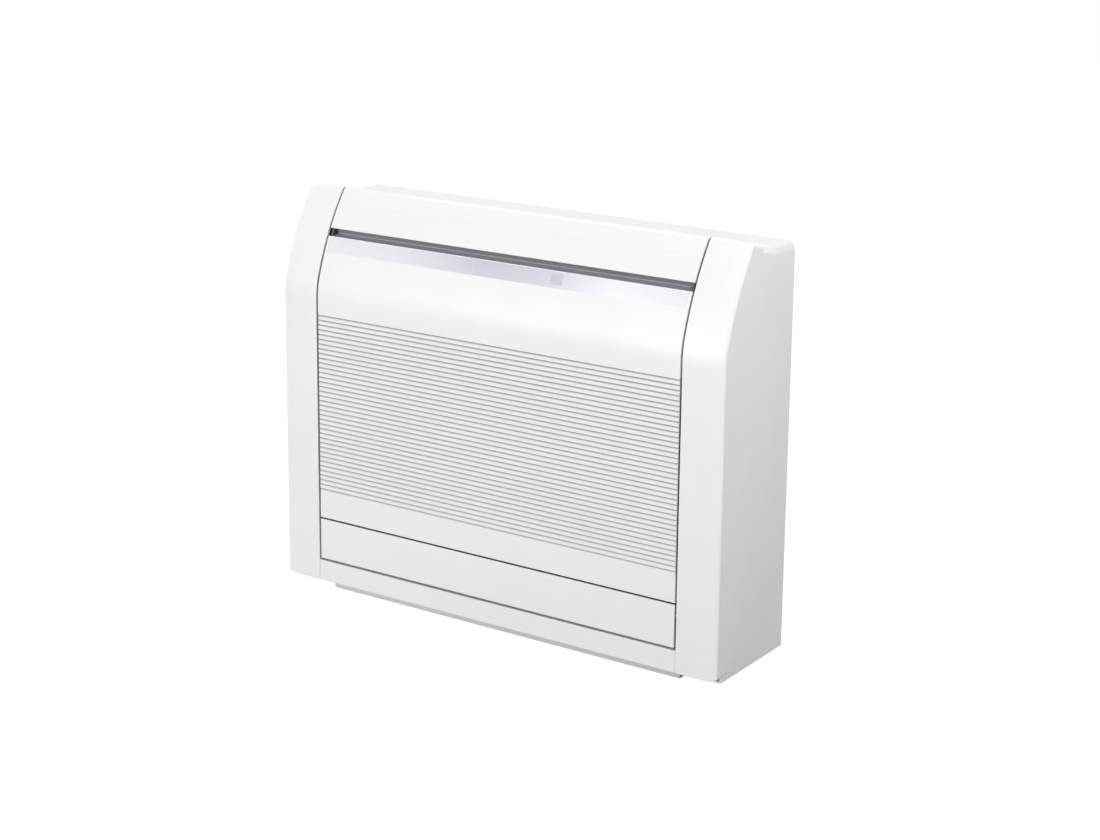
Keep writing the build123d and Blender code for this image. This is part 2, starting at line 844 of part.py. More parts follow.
def cheek_curve(inset):
    """Sections of the cover's front seen from above, as (x, how far the face lies back), inner edge first."""
    corner_x = half_width - cheek_corner
    big_end_x = corner_x + cheek_corner * sin(radians(cheek_turn))
    big_start_x = big_end_x - cheek_radius * sin(radians(cheek_turn))
    center_back = cheek_radius - (cheek_radius - cheek_corner) * cos(radians(cheek_turn))
    sections = [(cover_inner_x, inset), (big_start_x, inset)]
    for step in range(1, cheek_steps + 1):
        angle = radians(cheek_turn * step / cheek_steps)
        reach = cheek_radius - inset
        sections.append((big_start_x + reach * sin(angle), cheek_radius - reach * cos(angle)))
    for step in range(1, cheek_steps + 1):
        angle = radians(cheek_turn + (90 - cheek_turn) * step / cheek_steps)
        reach = cheek_corner - inset
        sections.append((corner_x + reach * sin(angle), center_back - reach * cos(angle)))
    return sections


def foot_rise(x):
    """How far the rounded lower corner lifts the cover's bottom at x."""
    into = max(0.0, x - (half_width - cover_foot_radius))
    return cover_foot_radius - sqrt(max(0.0, cover_foot_radius**2 - into**2))


def cover_section(x, back, low_z, rear_inset, foot_radius):
    """Closed outline of the side cover at x: front, crest, top, leaning rear edge, foot."""
    with BuildSketch(Plane.YZ.offset(x)) as section:
        with BuildLine():
            foot, end = front_edges(back, low_z, crest_z)
            crest_reach = crest_radius - back
            ThreePointArc(end, crest_middle(crest_reach), crest_end(crest_reach))
            rear_y = front_y + band_depth - rear_inset
            top_rear = top_point(cover_rear_top_y - rear_inset / cos(radians(band_lean)), back)
            bend_foot = (rear_y, bend_z - band_bend_radius * tan(radians(band_lean / 2)))
            bend_center = (rear_y + band_bend_radius, bend_foot[1])
            bend_middle = on_arc(bend_center, band_bend_radius, 180 - band_lean / 2)
            bend_end = on_arc(bend_center, band_bend_radius, 180 - band_lean)
            Line(crest_end(crest_reach), top_rear)
            Line(top_rear, bend_end)
            ThreePointArc(bend_end, bend_middle, bend_foot)
            corner = (rear_y - foot_radius, low_z + foot_radius)
            Line(bend_foot, (rear_y, corner[1]))
            ThreePointArc((rear_y, corner[1]), on_arc(corner, foot_radius, -45), (corner[0], low_z))
            Line((corner[0], low_z), foot)
        make_face()
    return section.sketch


with BuildPart() as right_side_cover:
    outer_sections = [
        cover_section(x, back, front_bottom + foot_rise(x), 0.0, cover_foot_radius)
        for x, back in cheek_curve(0.0)
    ]
    loft(sections=outer_sections, ruled=True)
    cavity_sections = [
        cover_section(
            max(x, cover_inner_x + wall),
            back,
            front_bottom + wall + foot_rise(x + wall),
            wall,
            cover_foot_radius - wall,
        )
        for x, back in cheek_curve(wall)
    ]
    loft(sections=cavity_sections, ruled=True, mode=Mode.SUBTRACT)
    # the cover is open at the back, inside the edge that closes on the casing
    open_y = front_y + band_depth - cover_back_open
    side_plate(
        [
            (open_y, front_bottom + wall),
            (cover_rear_top_y + cut_past, front_bottom + wall),
            top_point(cover_rear_top_y + cut_past, wall),
            top_point(cover_rear_top_y - cover_back_open, wall),
            (open_y, bend_z),
        ],
        (cover_inner_x + wall, casing_half + seam),
        mode=Mode.SUBTRACT,
    )
    # the floor of the cover stops short of the casing's side wall
    block(
        (casing_inner_half - seam, casing_half + seam),
        (casing_front_y - seam, front_y + band_depth + cut_past),
        (front_bottom - cut_past, front_bottom + 2 * wall),
        mode=Mode.SUBTRACT,
    )
    # the edge along the side gap is only a short flange
    with BuildSketch(Plane.YZ.offset(cover_inner_x - cut_past)):
        with BuildLine():
            flange_foot, flange_end = front_edges(cover_flange, front_bottom + wall, crest_z)
            flange_reach = crest_radius - cover_flange
            flange_rear = top_point(cover_rear_top_y + cover_flange, cover_flange)
            ThreePointArc(flange_end, crest_middle(flange_reach), crest_end(flange_reach))
            Line(crest_end(flange_reach), flange_rear)
            Line(flange_rear, (flange_rear[0], front_bottom + wall))
            Line((flange_rear[0], front_bottom + wall), flange_foot)
        make_face()
    extrude(amount=wall + cut_past, mode=Mode.SUBTRACT)
    # pads that rest on the casing's side
    pad_front_y = casing_front_y + cover_pad_setback
    for pad_z in cover_pad_heights:
        block(
            (casing_half, half_width - wall / 2),
            (pad_front_y, pad_front_y + cover_pad_depth),
            wide(pad_z, cover_pad_height),
        )
save(right_side_cover, "right_side_cover")

with BuildPart() as left_side_cover:
    mirror(right_side_cover.part, about=Plane.YZ)
save(left_side_cover, "left_side_cover")

# ================================================================ bottom bar
with BuildPart() as bottom_bar:
    side_plate(
        [
            (front_y, front_bottom),
            (front_y + bar_floor_depth, front_bottom),
            (front_y + bar_floor_depth, front_bottom + wall),
            (front_y + wall, front_bottom + wall),
            (front_y + wall, bar_top - wall),
            (front_y + bar_return, bar_top - wall),
            (front_y + bar_return, bar_top),
            (front_y, bar_top),
        ],
        both_ways(fixed_half),
    )
    fillet(bottom_bar.edges().filter_by(Axis.X).group_by(Axis.Y)[0], radius=edge_round)
    for web_x in bar_web_places:
        block(
            wide(web_x, bar_web_width),
            (front_y + wall - root, front_y + bar_return),
            (front_bottom + wall - root, bar_top - wall + root),
        )
save(bottom_bar, "bottom_bar")

# ================================================================ bulkheads of the air path


def build_bulkhead(holes):
    """Right-hand bulkhead with the eyes of the three hinges; each hole is a place (y, z) and a radius."""
    low_z = floor_z + touch
    rear_y = back_plate_y - touch
    foot_z = flap_bottom - bulkhead_foot_drop
    above_bar_z = front_bottom + wall + touch
    behind_bar_y = front_y + bar_return + bulkhead_bar_gap
    behind_floor_y = front_y + bar_floor_depth + bulkhead_bar_gap
    eye = crest_radius - bulkhead_edge
    with BuildPart() as bulkhead:
        with BuildSketch(Plane.YZ.offset(bulkhead_inner)):
            with BuildLine():
                foot, end = front_edges(bulkhead_edge, foot_z, crest_z)
                ThreePointArc(end, crest_middle(eye), crest_end(eye))
                Polyline(
                    crest_end(eye),
                    top_point(slope_end_y, bulkhead_edge),
                    top_point(rear_y, bulkhead_edge),
                    (rear_y, low_z),
                    (behind_floor_y, low_z),
                    (behind_floor_y, above_bar_z),
                    (behind_bar_y, above_bar_z),
                    (behind_bar_y, foot_z),
                    foot,
                )
            make_face()
            # room for the louver's barrel, with the arm that carries its eye
            with Locations(louver_axis):
                Circle(crest_radius + running_gap, mode=Mode.SUBTRACT)
                Circle(eye)
                with Locations(Rotation(0, 0, -90 - crest_lean)):
                    with Locations((eye_arm / 2, 0.0)):
                        Rectangle(eye_arm, eye * 2)
            # room for the lower edge of the panel and the upper edge of the flap as they swing,
            # with a round lobe left for each of the two eyes
            with Locations((front_y - notch_front + notch_depth / 2, (flap_axis[1] + panel_axis[1]) / 2)):
                Rectangle(notch_depth, panel_axis[1] - flap_axis[1], mode=Mode.SUBTRACT)
            with Locations(flap_axis, panel_axis):
                Circle(front_eye_radius)
            with Locations(louver_axis):
                Circle(louver_pin_radius + pin_clearance, mode=Mode.SUBTRACT)
            with Locations(flap_axis, panel_axis):
                Circle(front_pin_radius + pin_clearance, mode=Mode.SUBTRACT)
            for hole, hole_radius in holes:
                with Locations(hole):
                    Circle(hole_radius, mode=Mode.SUBTRACT)
        extrude(amount=plate)
    return bulkhead


right_bulkhead = build_bulkhead([(cable_hole, cable_hole_radius)])
save(right_bulkhead, "right_bulkhead")

pipe_holes = [
    ((header_y, gas_start_z), gas_tube_radius + pipe_play),
    ((header_y, liquid_start_z), liquid_tube_radius + pipe_play),
    ((header_y, drain_start_z), drain_tube_radius + touch),
]
with BuildPart() as left_bulkhead:
    mirror(build_bulkhead(pipe_holes).part, about=Plane.YZ)
save(left_bulkhead, "left_bulkhead")

# ================================================================ moving front panel
lug_outer = bulkhead_inner - lug_side_gap
lug_inner = lug_outer - lug_width
pin_end = bulkhead_outer - pin_setback
slot_heights = [lowest_slot_z + step * slot_pitch for step in range(slot_count)]
slot_top = slot_heights[-1]
rib_half = lug_inner - rib_side_gap


def hinge_lugs(axis, radius, pin_radius, web):
    """Lugs with pins at both ends of a moving front; web is the outline that ties a lug to its plate."""
    for side in (-1, 1):
        side_plate(web, mirrored(side, lug_inner, lug_outer))
        rod_x(axis, radius, mirrored(side, lug_inner, lug_outer))
        rod_x(axis, pin_radius, mirrored(side, lug_outer - root, pin_end))


def cross_rib(inner_face_y, reach, rib_z, thickness):
    """Level rib behind a moving front, between its hinge lugs."""
    block(
        both_ways(rib_half),
        (inner_face_y - root, inner_face_y + reach),
        wide(rib_z, thickness),
    )


def on_crown(edge):
    """Whether an edge lies on the outer face of the crown."""
    reach = hypot(edge.center().Y - crown_center[0], edge.center().Z - crown_center[1])
    return edge.center().Z > shoulder_z and reach > crown_radius - 2 * edge_round


with BuildPart() as grille_panel:
    panel_inner_y = front_y + panel_wall
    with BuildSketch(Plane.YZ.offset(-moving_half)):
        with BuildLine():
            outer_foot, outer_end = front_edges(0.0, panel_bottom, panel_top)
            inner_foot, inner_end = front_edges(panel_wall, panel_bottom, panel_top)
            Line(outer_foot, inner_foot)
            Line(outer_end, inner_end)
        make_face()
    extrude(amount=2 * moving_half)
    rim_edges = grille_panel.edges().filter_by(
        lambda edge: (
            abs(abs(edge.center().X) - moving_half) < near
            or edge.center().Z < panel_bottom + near
            or edge.center().Z > panel_top - near
        )
        and (abs(edge.center().Y - front_y) < near or on_crown(edge))
    )
    fillet(rim_edges, radius=edge_round)
    # seat of the display strip
    with BuildSketch(Plane.YZ.offset(-moving_half + strip_margin)):
        with BuildLine():
            crown_band(-cut_past, strip_thickness, (strip_bottom,) * 2, (strip_top,) * 2)
        make_face()
    extrude(amount=2 * (moving_half - strip_margin), mode=Mode.SUBTRACT)
    # grooves right across the front, each rising to a slit behind the lower edge of the slat above
    throat_low = slot_rise - slot_throat / 2
    throat_high = slot_rise + slot_throat / 2
    with BuildSketch(Plane.YZ.offset(-half_width)):
        for slot_z in slot_heights:
            with BuildLine():
                Polyline(
                    (front_y - cut_past, slot_z - slot_mouth / 2),
                    (front_y, slot_z - slot_mouth / 2),
                    (front_y + slot_groove_depth, slot_z + throat_low),
                    (front_y + slot_groove_depth, slot_z + throat_high),
                    (front_y, slot_z + slot_mouth / 2),
                    (front_y - cut_past, slot_z + slot_mouth / 2),
                    close=True,
                )
            make_face()
    extrude(amount=width, mode=Mode.SUBTRACT)
    # slits between the upright ribs
    with BuildSketch(Plane.XZ.offset(-panel_inner_y - cut_past)):
        with Locations((0.0, (slot_heights[0] + slot_top) / 2 + slot_rise)):
            with GridLocations(bay_pitch, slot_pitch, bay_count, slot_count):
                Rectangle(bay_pitch - rib_width, slot_throat)
    extrude(amount=panel_wall, mode=Mode.SUBTRACT)
    low_rib_z = panel_bottom + panel_low_rib_rise
    for rib in range(bay_count - 1):
        block(
            wide((rib - (bay_count - 2) / 2) * bay_pitch, rib_width),
            (panel_inner_y - root, panel_inner_y + panel_rib_depth),
            (low_rib_z, shoulder_z),
        )
    for rib_z in (low_rib_z, slot_top + panel_high_rib_rise):
        cross_rib(panel_inner_y, panel_rib_depth, rib_z, cross_rib_width)
    hinge_lugs(
        panel_axis,
        lug_radius,
        front_pin_radius,
        [
            (panel_inner_y - root, panel_axis[1] - lug_radius / 2),
            (panel_axis[0], panel_axis[1] - lug_radius + root),
            (panel_axis[0], panel_axis[1] + lug_radius - root),
            (panel_inner_y - root, panel_axis[1] + 3 * lug_radius),
        ],
    )
    # tongues that snap into the catches
    tongue_z = height - tongue_drop
    tongue_y = (front_y + tongue_setback, front_y + tongue_setback + tongue_length)
    for tongue_x in tongue_places:
        block(wide(tongue_x, tongue_width), tongue_y, wide(tongue_z, tongue_thickness))
save(grille_panel, "grille_panel")

with BuildPart() as display_strip:
    with BuildSketch(Plane.YZ.offset(-moving_half + strip_margin)):
        with BuildLine():
            crown_band(0.0, strip_thickness, (strip_bottom,) * 2, (strip_top,) * 2)
        make_face()
    extrude(amount=2 * (moving_half - strip_margin))
    strip_lean = lean_at((strip_bottom + panel_top) / 2)
    strip_middle = crown_point((strip_bottom + panel_top) / 2)
    strip_plane = Plane(
        origin=(0.0, strip_middle[0], strip_middle[1]),
        x_dir=(1, 0, 0),
        z_dir=(0, -cos(radians(strip_lean)), sin(radians(strip_lean))),
    )
    lamp_spots = [(lamp_x, 0.0) for lamp_x in lamp_positions]
    with BuildSketch(strip_plane.offset(cut_past)):
        with Locations((window_x, 0.0)):
            RectangleRounded(window_width, window_height, window_corner)
        with Locations(*lamp_spots):
            Circle(lamp_radius)
    extrude(amount=-2 * cut_past - strip_thickness, mode=Mode.SUBTRACT)
save(display_strip, "display_strip")

with BuildPart() as receiver_window:
    with BuildSketch(strip_plane.offset(-strip_thickness + lens_play)):
        with Locations((window_x, 0.0)):
            RectangleRounded(window_width - 2 * lens_play, window_height - 2 * lens_play, window_corner)
    extrude(amount=strip_thickness - 2 * lens_play)
save(receiver_window, "receiver_window")

with BuildPart() as indicator_lamps:
    with BuildSketch(strip_plane.offset(-strip_thickness + lens_play)):
        with Locations(*lamp_spots):
            Circle(lamp_radius - lens_play)
    extrude(amount=strip_thickness)
save(indicator_lamps, "indicator_lamps")

# ================================================================ sill under the upper outlet
sill_foot_z = partition_high_z + touch
partition_back_y = partition_y + partition_wall
sill_knee = (partition_y - sill_knee_reach, sill_foot_z + sill_knee_rise)
ledge_front = crown_point(panel_top + ledge_rise, ledge_inset)
riser_top = crown_point(panel_top + riser_rise, riser_inset)
ledge_back = between(riser_top, sill_knee, ledge_share)
ledge_under_share = ledge_share + sill_wall / (riser_top[1] - sill_knee[1])
board_plane = strip_plane.offset(-board_depth)
vane_places = [(step - (vane_count - 1) / 2) * vane_pitch for step in range(vane_count)]
with BuildPart() as outlet_sill:
    side_plate(
        [
            ledge_front,
            ledge_back,
            riser_top,
            (riser_top[0] + sill_wall, riser_top[1]),
            (sill_knee[0] + sill_wall + touch, sill_knee[1] + sill_wall / 3),
            (partition_back_y, sill_foot_z + sill_foot_rise),
            (partition_back_y, sill_foot_z),
            (partition_y, sill_foot_z),
            (partition_y, sill_foot_z + sill_foot_rise - sill_wall / 2),
            sill_knee,
            between(riser_top, sill_knee, ledge_under_share),
            (ledge_front[0] + sill_wall / 2, ledge_front[1] - sill_wall),
        ],
        both_ways(inner_half),
    )
    # holders of the indicator board
    holder_inset = board_depth + touch
    for holder_x in board_holder_places:
        side_plate(
            [
                crown_point(strip_top, holder_inset),
                (ledge_front[0] + 2 * sill_wall, ledge_front[1] - root),
                (ledge_back[0] + root, ledge_back[1] - sill_wall / 2),
                (sill_knee[0] + sill_wall / 2, sill_knee[1]),
                crown_point(strip_bottom + holder_inset / 2, holder_inset),
            ],
            wide(holder_x, board_holder_width),
        )
    # holes for the pins of the vanes
    for vane_x in vane_places:
        rod_y(
            (vane_x, vane_axis_z),
            vane_pin_radius + pin_clearance,
            (vane_front_y - vane_pin_length - cut_past, vane_front_y),
            mode=Mode.SUBTRACT,
        )
save(outlet_sill, "outlet_sill")

# ================================================================ fan orifice plate
with BuildPart() as fan_orifice:
    mouth_r = fan_z + orifice_radius + orifice_mouth_radius
    throat_r = fan_z + orifice_radius
    block(
        both_ways(inner_half),
        (partition_y, partition_back_y),
        (partition_low_z, partition_high_z),
    )
    rod_y(
        (0.0, fan_z),
        orifice_radius + orifice_mouth_radius,
        cut_through((partition_y, partition_back_y)),
        mode=Mode.SUBTRACT,
    )
    # rounded mouth and collar, each as two quarter arcs about one centre
    mouth_center = (partition_y + orifice_mouth_radius, mouth_r)
    collar_y = mouth_center[0] + orifice_collar
    back_reach = orifice_mouth_radius - orifice_wall
    with BuildSketch(Plane.YZ):
        with BuildLine():
            ThreePointArc(
                (partition_y, mouth_r),
                on_arc(mouth_center, orifice_mouth_radius, 225),
                (mouth_center[0], throat_r),
            )
            Polyline(
                (mouth_center[0], throat_r),
                (collar_y, throat_r),
                (collar_y, throat_r + orifice_wall),
                (mouth_center[0], throat_r + orifice_wall),
            )
            ThreePointArc(
                (mouth_center[0], throat_r + orifice_wall),
                on_arc(mouth_center, back_reach, 225),
                (partition_y + orifice_wall, mouth_r),
            )
            Polyline(
                (partition_y + orifice_wall, mouth_r),
                (partition_y + orifice_wall, mouth_r + root),
                (partition_y, mouth_r + root),
                (partition_y, mouth_r),
            )
        make_face()
    revolve(axis=fan_axis)
save(fan_orifice, "fan_orifice")

# ================================================================ air guides behind the fan
with BuildPart() as upper_air_guide:
    guide_top = top_point(louver_axis[0] + upper_guide_front, casing_wall + touch)
    guide_low = (back_plate_y - guide_back_gap, upper_guide_low_z)
    duct_top = (guide_top[0], guide_top[1] - guide_wall)
    duct_low = (guide_low[0] - guide_wall, guide_low[1])
    with BuildSketch(Plane.YZ.offset(-inner_half)):
        with BuildLine():
            ThreePointArc(duct_low, bowed(guide_low, guide_top, upper_guide_sag - guide_wall), duct_top)
            Line(duct_low, guide_low)
            ThreePointArc(guide_low, bowed(guide_low, guide_top, upper_guide_sag), guide_top)
            Line(guide_top, duct_top)
        make_face()
    extrude(amount=2 * inner_half)
save(upper_air_guide, "upper_air_guide")

with BuildPart() as lower_air_guide:
    nose = (front_y + bar_return + guide_nose_gap, bar_top + guide_nose_rise)
    nose_foot = (nose[0], nose[1] - guide_wall)
    guide_rear = (back_plate_y - touch, lower_guide_rear_z)
    duct_rear = (guide_rear[0] - guide_wall, guide_rear[1])
    with BuildSketch(Plane.YZ.offset(-inner_half)):
        with BuildLine():
            ThreePointArc(nose, bowed(nose_foot, guide_rear, lower_guide_sag - guide_wall), duct_rear)
            Line(duct_rear, guide_rear)
            ThreePointArc(guide_rear, bowed(nose_foot, guide_rear, lower_guide_sag), nose_foot)
            Line(nose_foot, nose)
        make_face()
    extrude(amount=2 * inner_half)
    # legs down to the casing's floor
    for leg_x in guide_leg_places:
        block(wide(leg_x, guide_leg_width), guide_leg_y, (floor_z, nose[1] - cut_past))
save(lower_air_guide, "lower_air_guide")

# ================================================================ louver over the upper outlet
crease_z = height - crease_drop
with BuildPart() as upper_louver:
    hollow = crest_radius - louver_wall
    with BuildSketch(Plane.YZ.offset(-moving_half)):
        with BuildLine():
            crown_edge(0.0, louver_bottom, crest_z)
            ThreePointArc(crown_point(crest_z), crest_middle(crest_radius), crest_end(crest_radius))
            Line(crest_end(crest_radius), crest_end(hollow))
            ThreePointArc(crest_end(hollow), crest_middle(hollow), crown_point(crest_z, louver_wall))
            crown_edge(louver_wall, louver_bottom, crest_z)
            Line(crown_point(louver_bottom), crown_point(louver_bottom, louver_wall))
        make_face()
    extrude(amount=2 * moving_half)
    fillet(upper_louver.edges().filter_by(Axis.X).group_by(Axis.Z)[0], radius=edge_round)
    # fine crease along the louver
    side_plate(
        [
            crown_point(crease_z - crease_half_height, -crease_depth),
            crown_point(crease_z, crease_depth),
            crown_point(crease_z + crease_half_height, -crease_depth),
        ],
        both_ways(half_width),
        mode=Mode.SUBTRACT,
    )
    rib_lows = (louver_bottom + louver_rib_margin, louver_bottom + 2 * louver_rib_margin)
    rib_highs = (crest_z - louver_rib_margin, crest_z - 2 * louver_rib_margin)
    for rib_x in louver_rib_places:
        with BuildSketch(Plane.YZ.offset(rib_x - louver_rib_width / 2)):
            with BuildLine():
                crown_band(louver_wall - root, louver_wall + louver_rib_depth, rib_lows, rib_highs)
            make_face()
        extrude(amount=louver_rib_width)
    hinge_lugs(
        louver_axis,
        louver_pin_radius + louver_lug_wall,
        louver_pin_radius,
        [
            crown_point(crest_z, louver_wall - root),
            louver_axis,
            crown_point(crest_z - louver_web_crest, louver_wall + louver_web_depth),
            crown_point(crest_z - louver_web_height, louver_wall - root),
        ],
    )
save(upper_louver, "upper_louver")

# ================================================================ flap of the lower outlet
with BuildPart() as lower_flap:
    flap_inner_y = front_y + flap_wall
    block(both_ways(moving_half), (front_y, flap_inner_y), (flap_bottom, flap_top))
    fillet(lower_flap.edges().filter_by(Axis.X).group_by(Axis.Y)[0], radius=flap_front_round)
    fillet(lower_flap.edges().filter_by(Axis.Z).group_by(Axis.Y)[0], radius=edge_round)
    for rib_z in (flap_bottom + flap_low_rib_rise, flap_top - flap_high_rib_drop):
        cross_rib(flap_inner_y, flap_rib_depth, rib_z, flap_rib_width)
    hinge_lugs(
        flap_axis,
        lug_radius,
        front_pin_radius,
        [
            (flap_inner_y - root, flap_axis[1] + lug_radius / 2),
            (flap_axis[0], flap_axis[1] + lug_radius - root),
            (flap_axis[0], flap_axis[1] - lug_radius + root),
            (flap_inner_y - root, flap_axis[1] - 3 * lug_radius),
        ],
    )
save(lower_flap, "lower_flap")

# ================================================================ vanes and their link
link_z = vane_axis_z - link_arm
link_y = (vane_back_y + link_gap, vane_back_y + link_gap + link_thickness)
for number, vane_x in enumerate(vane_places, start=1):
    with BuildPart() as vane:
        side_plate(
            [
                (vane_front_y, vane_axis_z - vane_nose_low),
                (vane_front_y, vane_high_z - vane_front_cut[1]),
                (vane_front_y + vane_front_cut[0], vane_high_z),
                (vane_back_y - vane_back_cut, vane_high_z),
                (vane_back_y, vane_high_z - vane_back_cut),
                (vane_back_y, vane_low_z),
                (vane_front_y + vane_foot_cut, vane_low_z),
            ],
            wide(vane_x, vane_thickness),
        )
        rod_y(
            (vane_x, vane_axis_z),
            vane_pin_radius,
            (vane_front_y - vane_pin_length, vane_front_y + vane_pin_root),
        )
        rod_y(
            (vane_x, link_z),
            link_pin_radius,
            (vane_back_y - link_pin_root, link_y[1] + link_pin_past),
        )
    save(vane, f"vane_{number}")

with BuildPart() as vane_link:
    block(
        both_ways(vane_places[-1] + link_end),
        link_y,
        wide(link_z + link_slot_rise / 4, link_width),
    )
    with BuildSketch(Plane.XZ.offset(-link_y[1] - cut_past)):
        with Locations(*[(vane_x, link_z + link_slot_rise / 4) for vane_x in vane_places]):
            Rectangle(
                2 * (link_pin_radius + link_slot_play),
                2 * (link_pin_radius + link_slot_play) + link_slot_rise,
            )
    extrude(amount=link_thickness + 2 * cut_past, mode=Mode.SUBTRACT)
save(vane_link, "vane_link")

# ================================================================ swing motors of louver and flap
motor_face = bulkhead_outer + touch
neck_end = cover_inner_x + wall + touch
with BuildPart() as swing_motors:
    for center in (
        on_arc(louver_axis, swing_motor_offset, louver_motor_turn),
        on_arc(flap_axis, swing_motor_offset, 0),
    ):
        rod_x(center, swing_neck_radius, (motor_face, neck_end + root))
        rod_x(center, swing_motor_radius, (neck_end, neck_end + swing_motor_length))
    fillet(swing_motors.edges().group_by(Axis.X)[-1], radius=swing_motor_edge)
save(swing_motors, "swing_motors")

# ================================================================ fan
hub_bore = shaft_radius + shaft_fit


def polar(radius, angle):
    """Point (x, z) about the fan's axis, angle in degrees."""
    return (radius * cos(radians(angle)), fan_z + radius * sin(radians(angle)))


with BuildPart() as fan_blade:
    blade_y = (fan_front_y + blade_front_setback, fan_back_y - blade_back_setback)
    with BuildSketch(Plane.XZ.offset(-blade_y[1])):
        with BuildLine(mode=Mode.PRIVATE) as blade_line:
            ThreePointArc(polar(blade_inner_radius, 0), polar(*blade_middle), polar(*blade_outer))
        trace(blade_line.line, line_width=fan_blade_thickness)
    extrude(amount=blade_y[1] - blade_y[0])

with BuildPart() as fan_impeller:
    with BuildSketch(Plane.YZ):
        with BuildLine():
            Polyline(
                (hub_front_y, fan_z + hub_bore),
                (hub_front_y, fan_z + hub_radius),
                (fan_back_y - cone_knee_depth, fan_z + cone_knee_radius),
                (fan_back_y - fan_disc_wall, fan_z + cone_radius),
                (fan_back_y - fan_disc_wall, fan_z + fan_radius),
                (fan_back_y, fan_z + fan_radius),
                (fan_back_y, fan_z + cone_radius - fan_disc_wall / 2),
                (fan_back_y - cone_knee_depth + fan_disc_wall, fan_z + cone_knee_radius - hub_wall),
                (hub_front_y + hub_length, fan_z + hub_radius - hub_wall),
                (hub_front_y + hub_length, fan_z + hub_bore),
                close=True,
            )
        make_face()
    revolve(axis=fan_axis)
    for step in range(fan_blade_count):
        add(fan_blade.part.rotate(fan_axis, 360.0 * step / fan_blade_count))
    shroud_in = (fan_front_y, fan_z + fan_eye_radius)
    shroud_out = (fan_front_y + shroud_depth, fan_z + fan_radius)
    shroud_lip = (shroud_in[0], shroud_in[1] + shroud_wall)
    shroud_rim = (shroud_out[0] - shroud_wall, shroud_out[1])
    with BuildSketch(Plane.YZ):
        with BuildLine():
            ThreePointArc(shroud_in, bowed(shroud_in, shroud_out, shroud_sag), shroud_out)
            Line(shroud_out, shroud_rim)
            ThreePointArc(shroud_rim, bowed(shroud_lip, shroud_rim, shroud_sag), shroud_lip)
            Line(shroud_lip, shroud_in)
        make_face()
    revolve(axis=fan_axis)
save(fan_impeller, "fan_impeller")

with BuildPart() as motor_shaft:
    rod_y((0.0, fan_z), shaft_radius, (hub_front_y - shaft_nose, motor_back_y - shaft_end_setback))
save(motor_shaft, "motor_shaft")

with BuildPart() as fan_nut:
    with BuildSketch(Plane.XZ.offset(-hub_front_y)):
        with Locations((0.0, fan_z)):
            RegularPolygon(nut_radius, 6)
            Circle(hub_bore, mode=Mode.SUBTRACT)
    extrude(amount=nut_height)
save(fan_nut, "fan_nut")

with BuildPart() as fan_motor:
    shell_front_y = motor_front_y + motor_boss_depth
    rod_y((0.0, fan_z), motor_radius, (shell_front_y, motor_back_y))
    rod_y((0.0, fan_z), motor_boss_radius, (motor_front_y, shell_front_y + root))
    fillet(fan_motor.edges().filter_by(GeomType.CIRCLE).group_by(Axis.Y)[1:], radius=motor_edge)
    rod_y(
        (0.0, fan_z),
        shaft_radius + pin_clearance,
        (motor_front_y - cut_past, motor_back_y - shaft_end_setback + cut_past),
        mode=Mode.SUBTRACT,
    )
save(fan_motor, "fan_motor")

with BuildPart() as motor_bracket:
    bracket_y = (motor_back_y, motor_back_y + bracket_thickness)
    rod_y((0.0, fan_z), motor_radius + bracket_rim, bracket_y)
    for arm_turn in (45.0, 135.0):
        with BuildSketch(Plane.XZ.offset(-bracket_y[1])):
            with Locations((0.0, fan_z)):
                with Locations(Rotation(0, 0, arm_turn)):
                    SlotOverall(motor_post_spacing * sqrt(2) + 2 * bracket_arm_end, bracket_arm_width)
        extrude(amount=bracket_thickness)
    with BuildSketch(Plane.XZ.offset(-bracket_y[1])):
        with Locations((0.0, fan_z)):
            with GridLocations(motor_post_spacing, motor_post_spacing, 2, 2):
                Circle(screw_radius + screw_play)
    extrude(amount=bracket_thickness, mode=Mode.SUBTRACT)
save(motor_bracket, "motor_bracket")

# ================================================================ electrics in the right-hand compartment
box_x = (bulkhead_outer + touch, casing_inner_half - box_side_gap)
box_cover_y = (box_y[0] - box_wall - box_cover_gap, box_y[0] - box_cover_gap)
box_screw_places = [
    (screw_x, screw_z)
    for screw_x in (box_x[0] + box_screw_inset[0], box_x[1] - box_screw_inset[0])
    for screw_z in (box_z[0] + box_screw_inset[1], box_z[1] - box_screw_inset[1])
]
with BuildPart() as control_box:
    block(box_x, box_y, box_z)
    block(
        (box_x[0] + box_wall, box_x[1] - box_wall),
        (box_y[0] - cut_past, box_y[1] - box_wall),
        (box_z[0] + box_wall, box_z[1] - box_wall),
        mode=Mode.SUBTRACT,
    )
    for place in box_screw_places:
        rod_y(place, box_boss_radius, (box_y[0], box_y[0] + box_boss_length))
        rod_y(
            place,
            screw_radius + screw_play,
            (box_y[0] - cut_past, box_y[0] + box_boss_length + cut_past),
            mode=Mode.SUBTRACT,
        )
save(control_box, "control_box")

with BuildPart() as control_box_cover:
    block(box_x, box_cover_y, box_z)
    for lip_z in (box_z[0] + box_wall + screw_play, box_z[1] - 2 * box_wall - screw_play):
        block(
            (box_x[0] + 2 * box_wall, box_x[1] - 2 * box_wall),
            (box_cover_y[1] - root, box_y[0] + box_lip_depth),
            (lip_z, lip_z + box_wall),
        )
    for place in box_screw_places:
        rod_y(place, screw_radius + screw_play, cut_through(box_cover_y), mode=Mode.SUBTRACT)
save(control_box_cover, "control_box_cover")

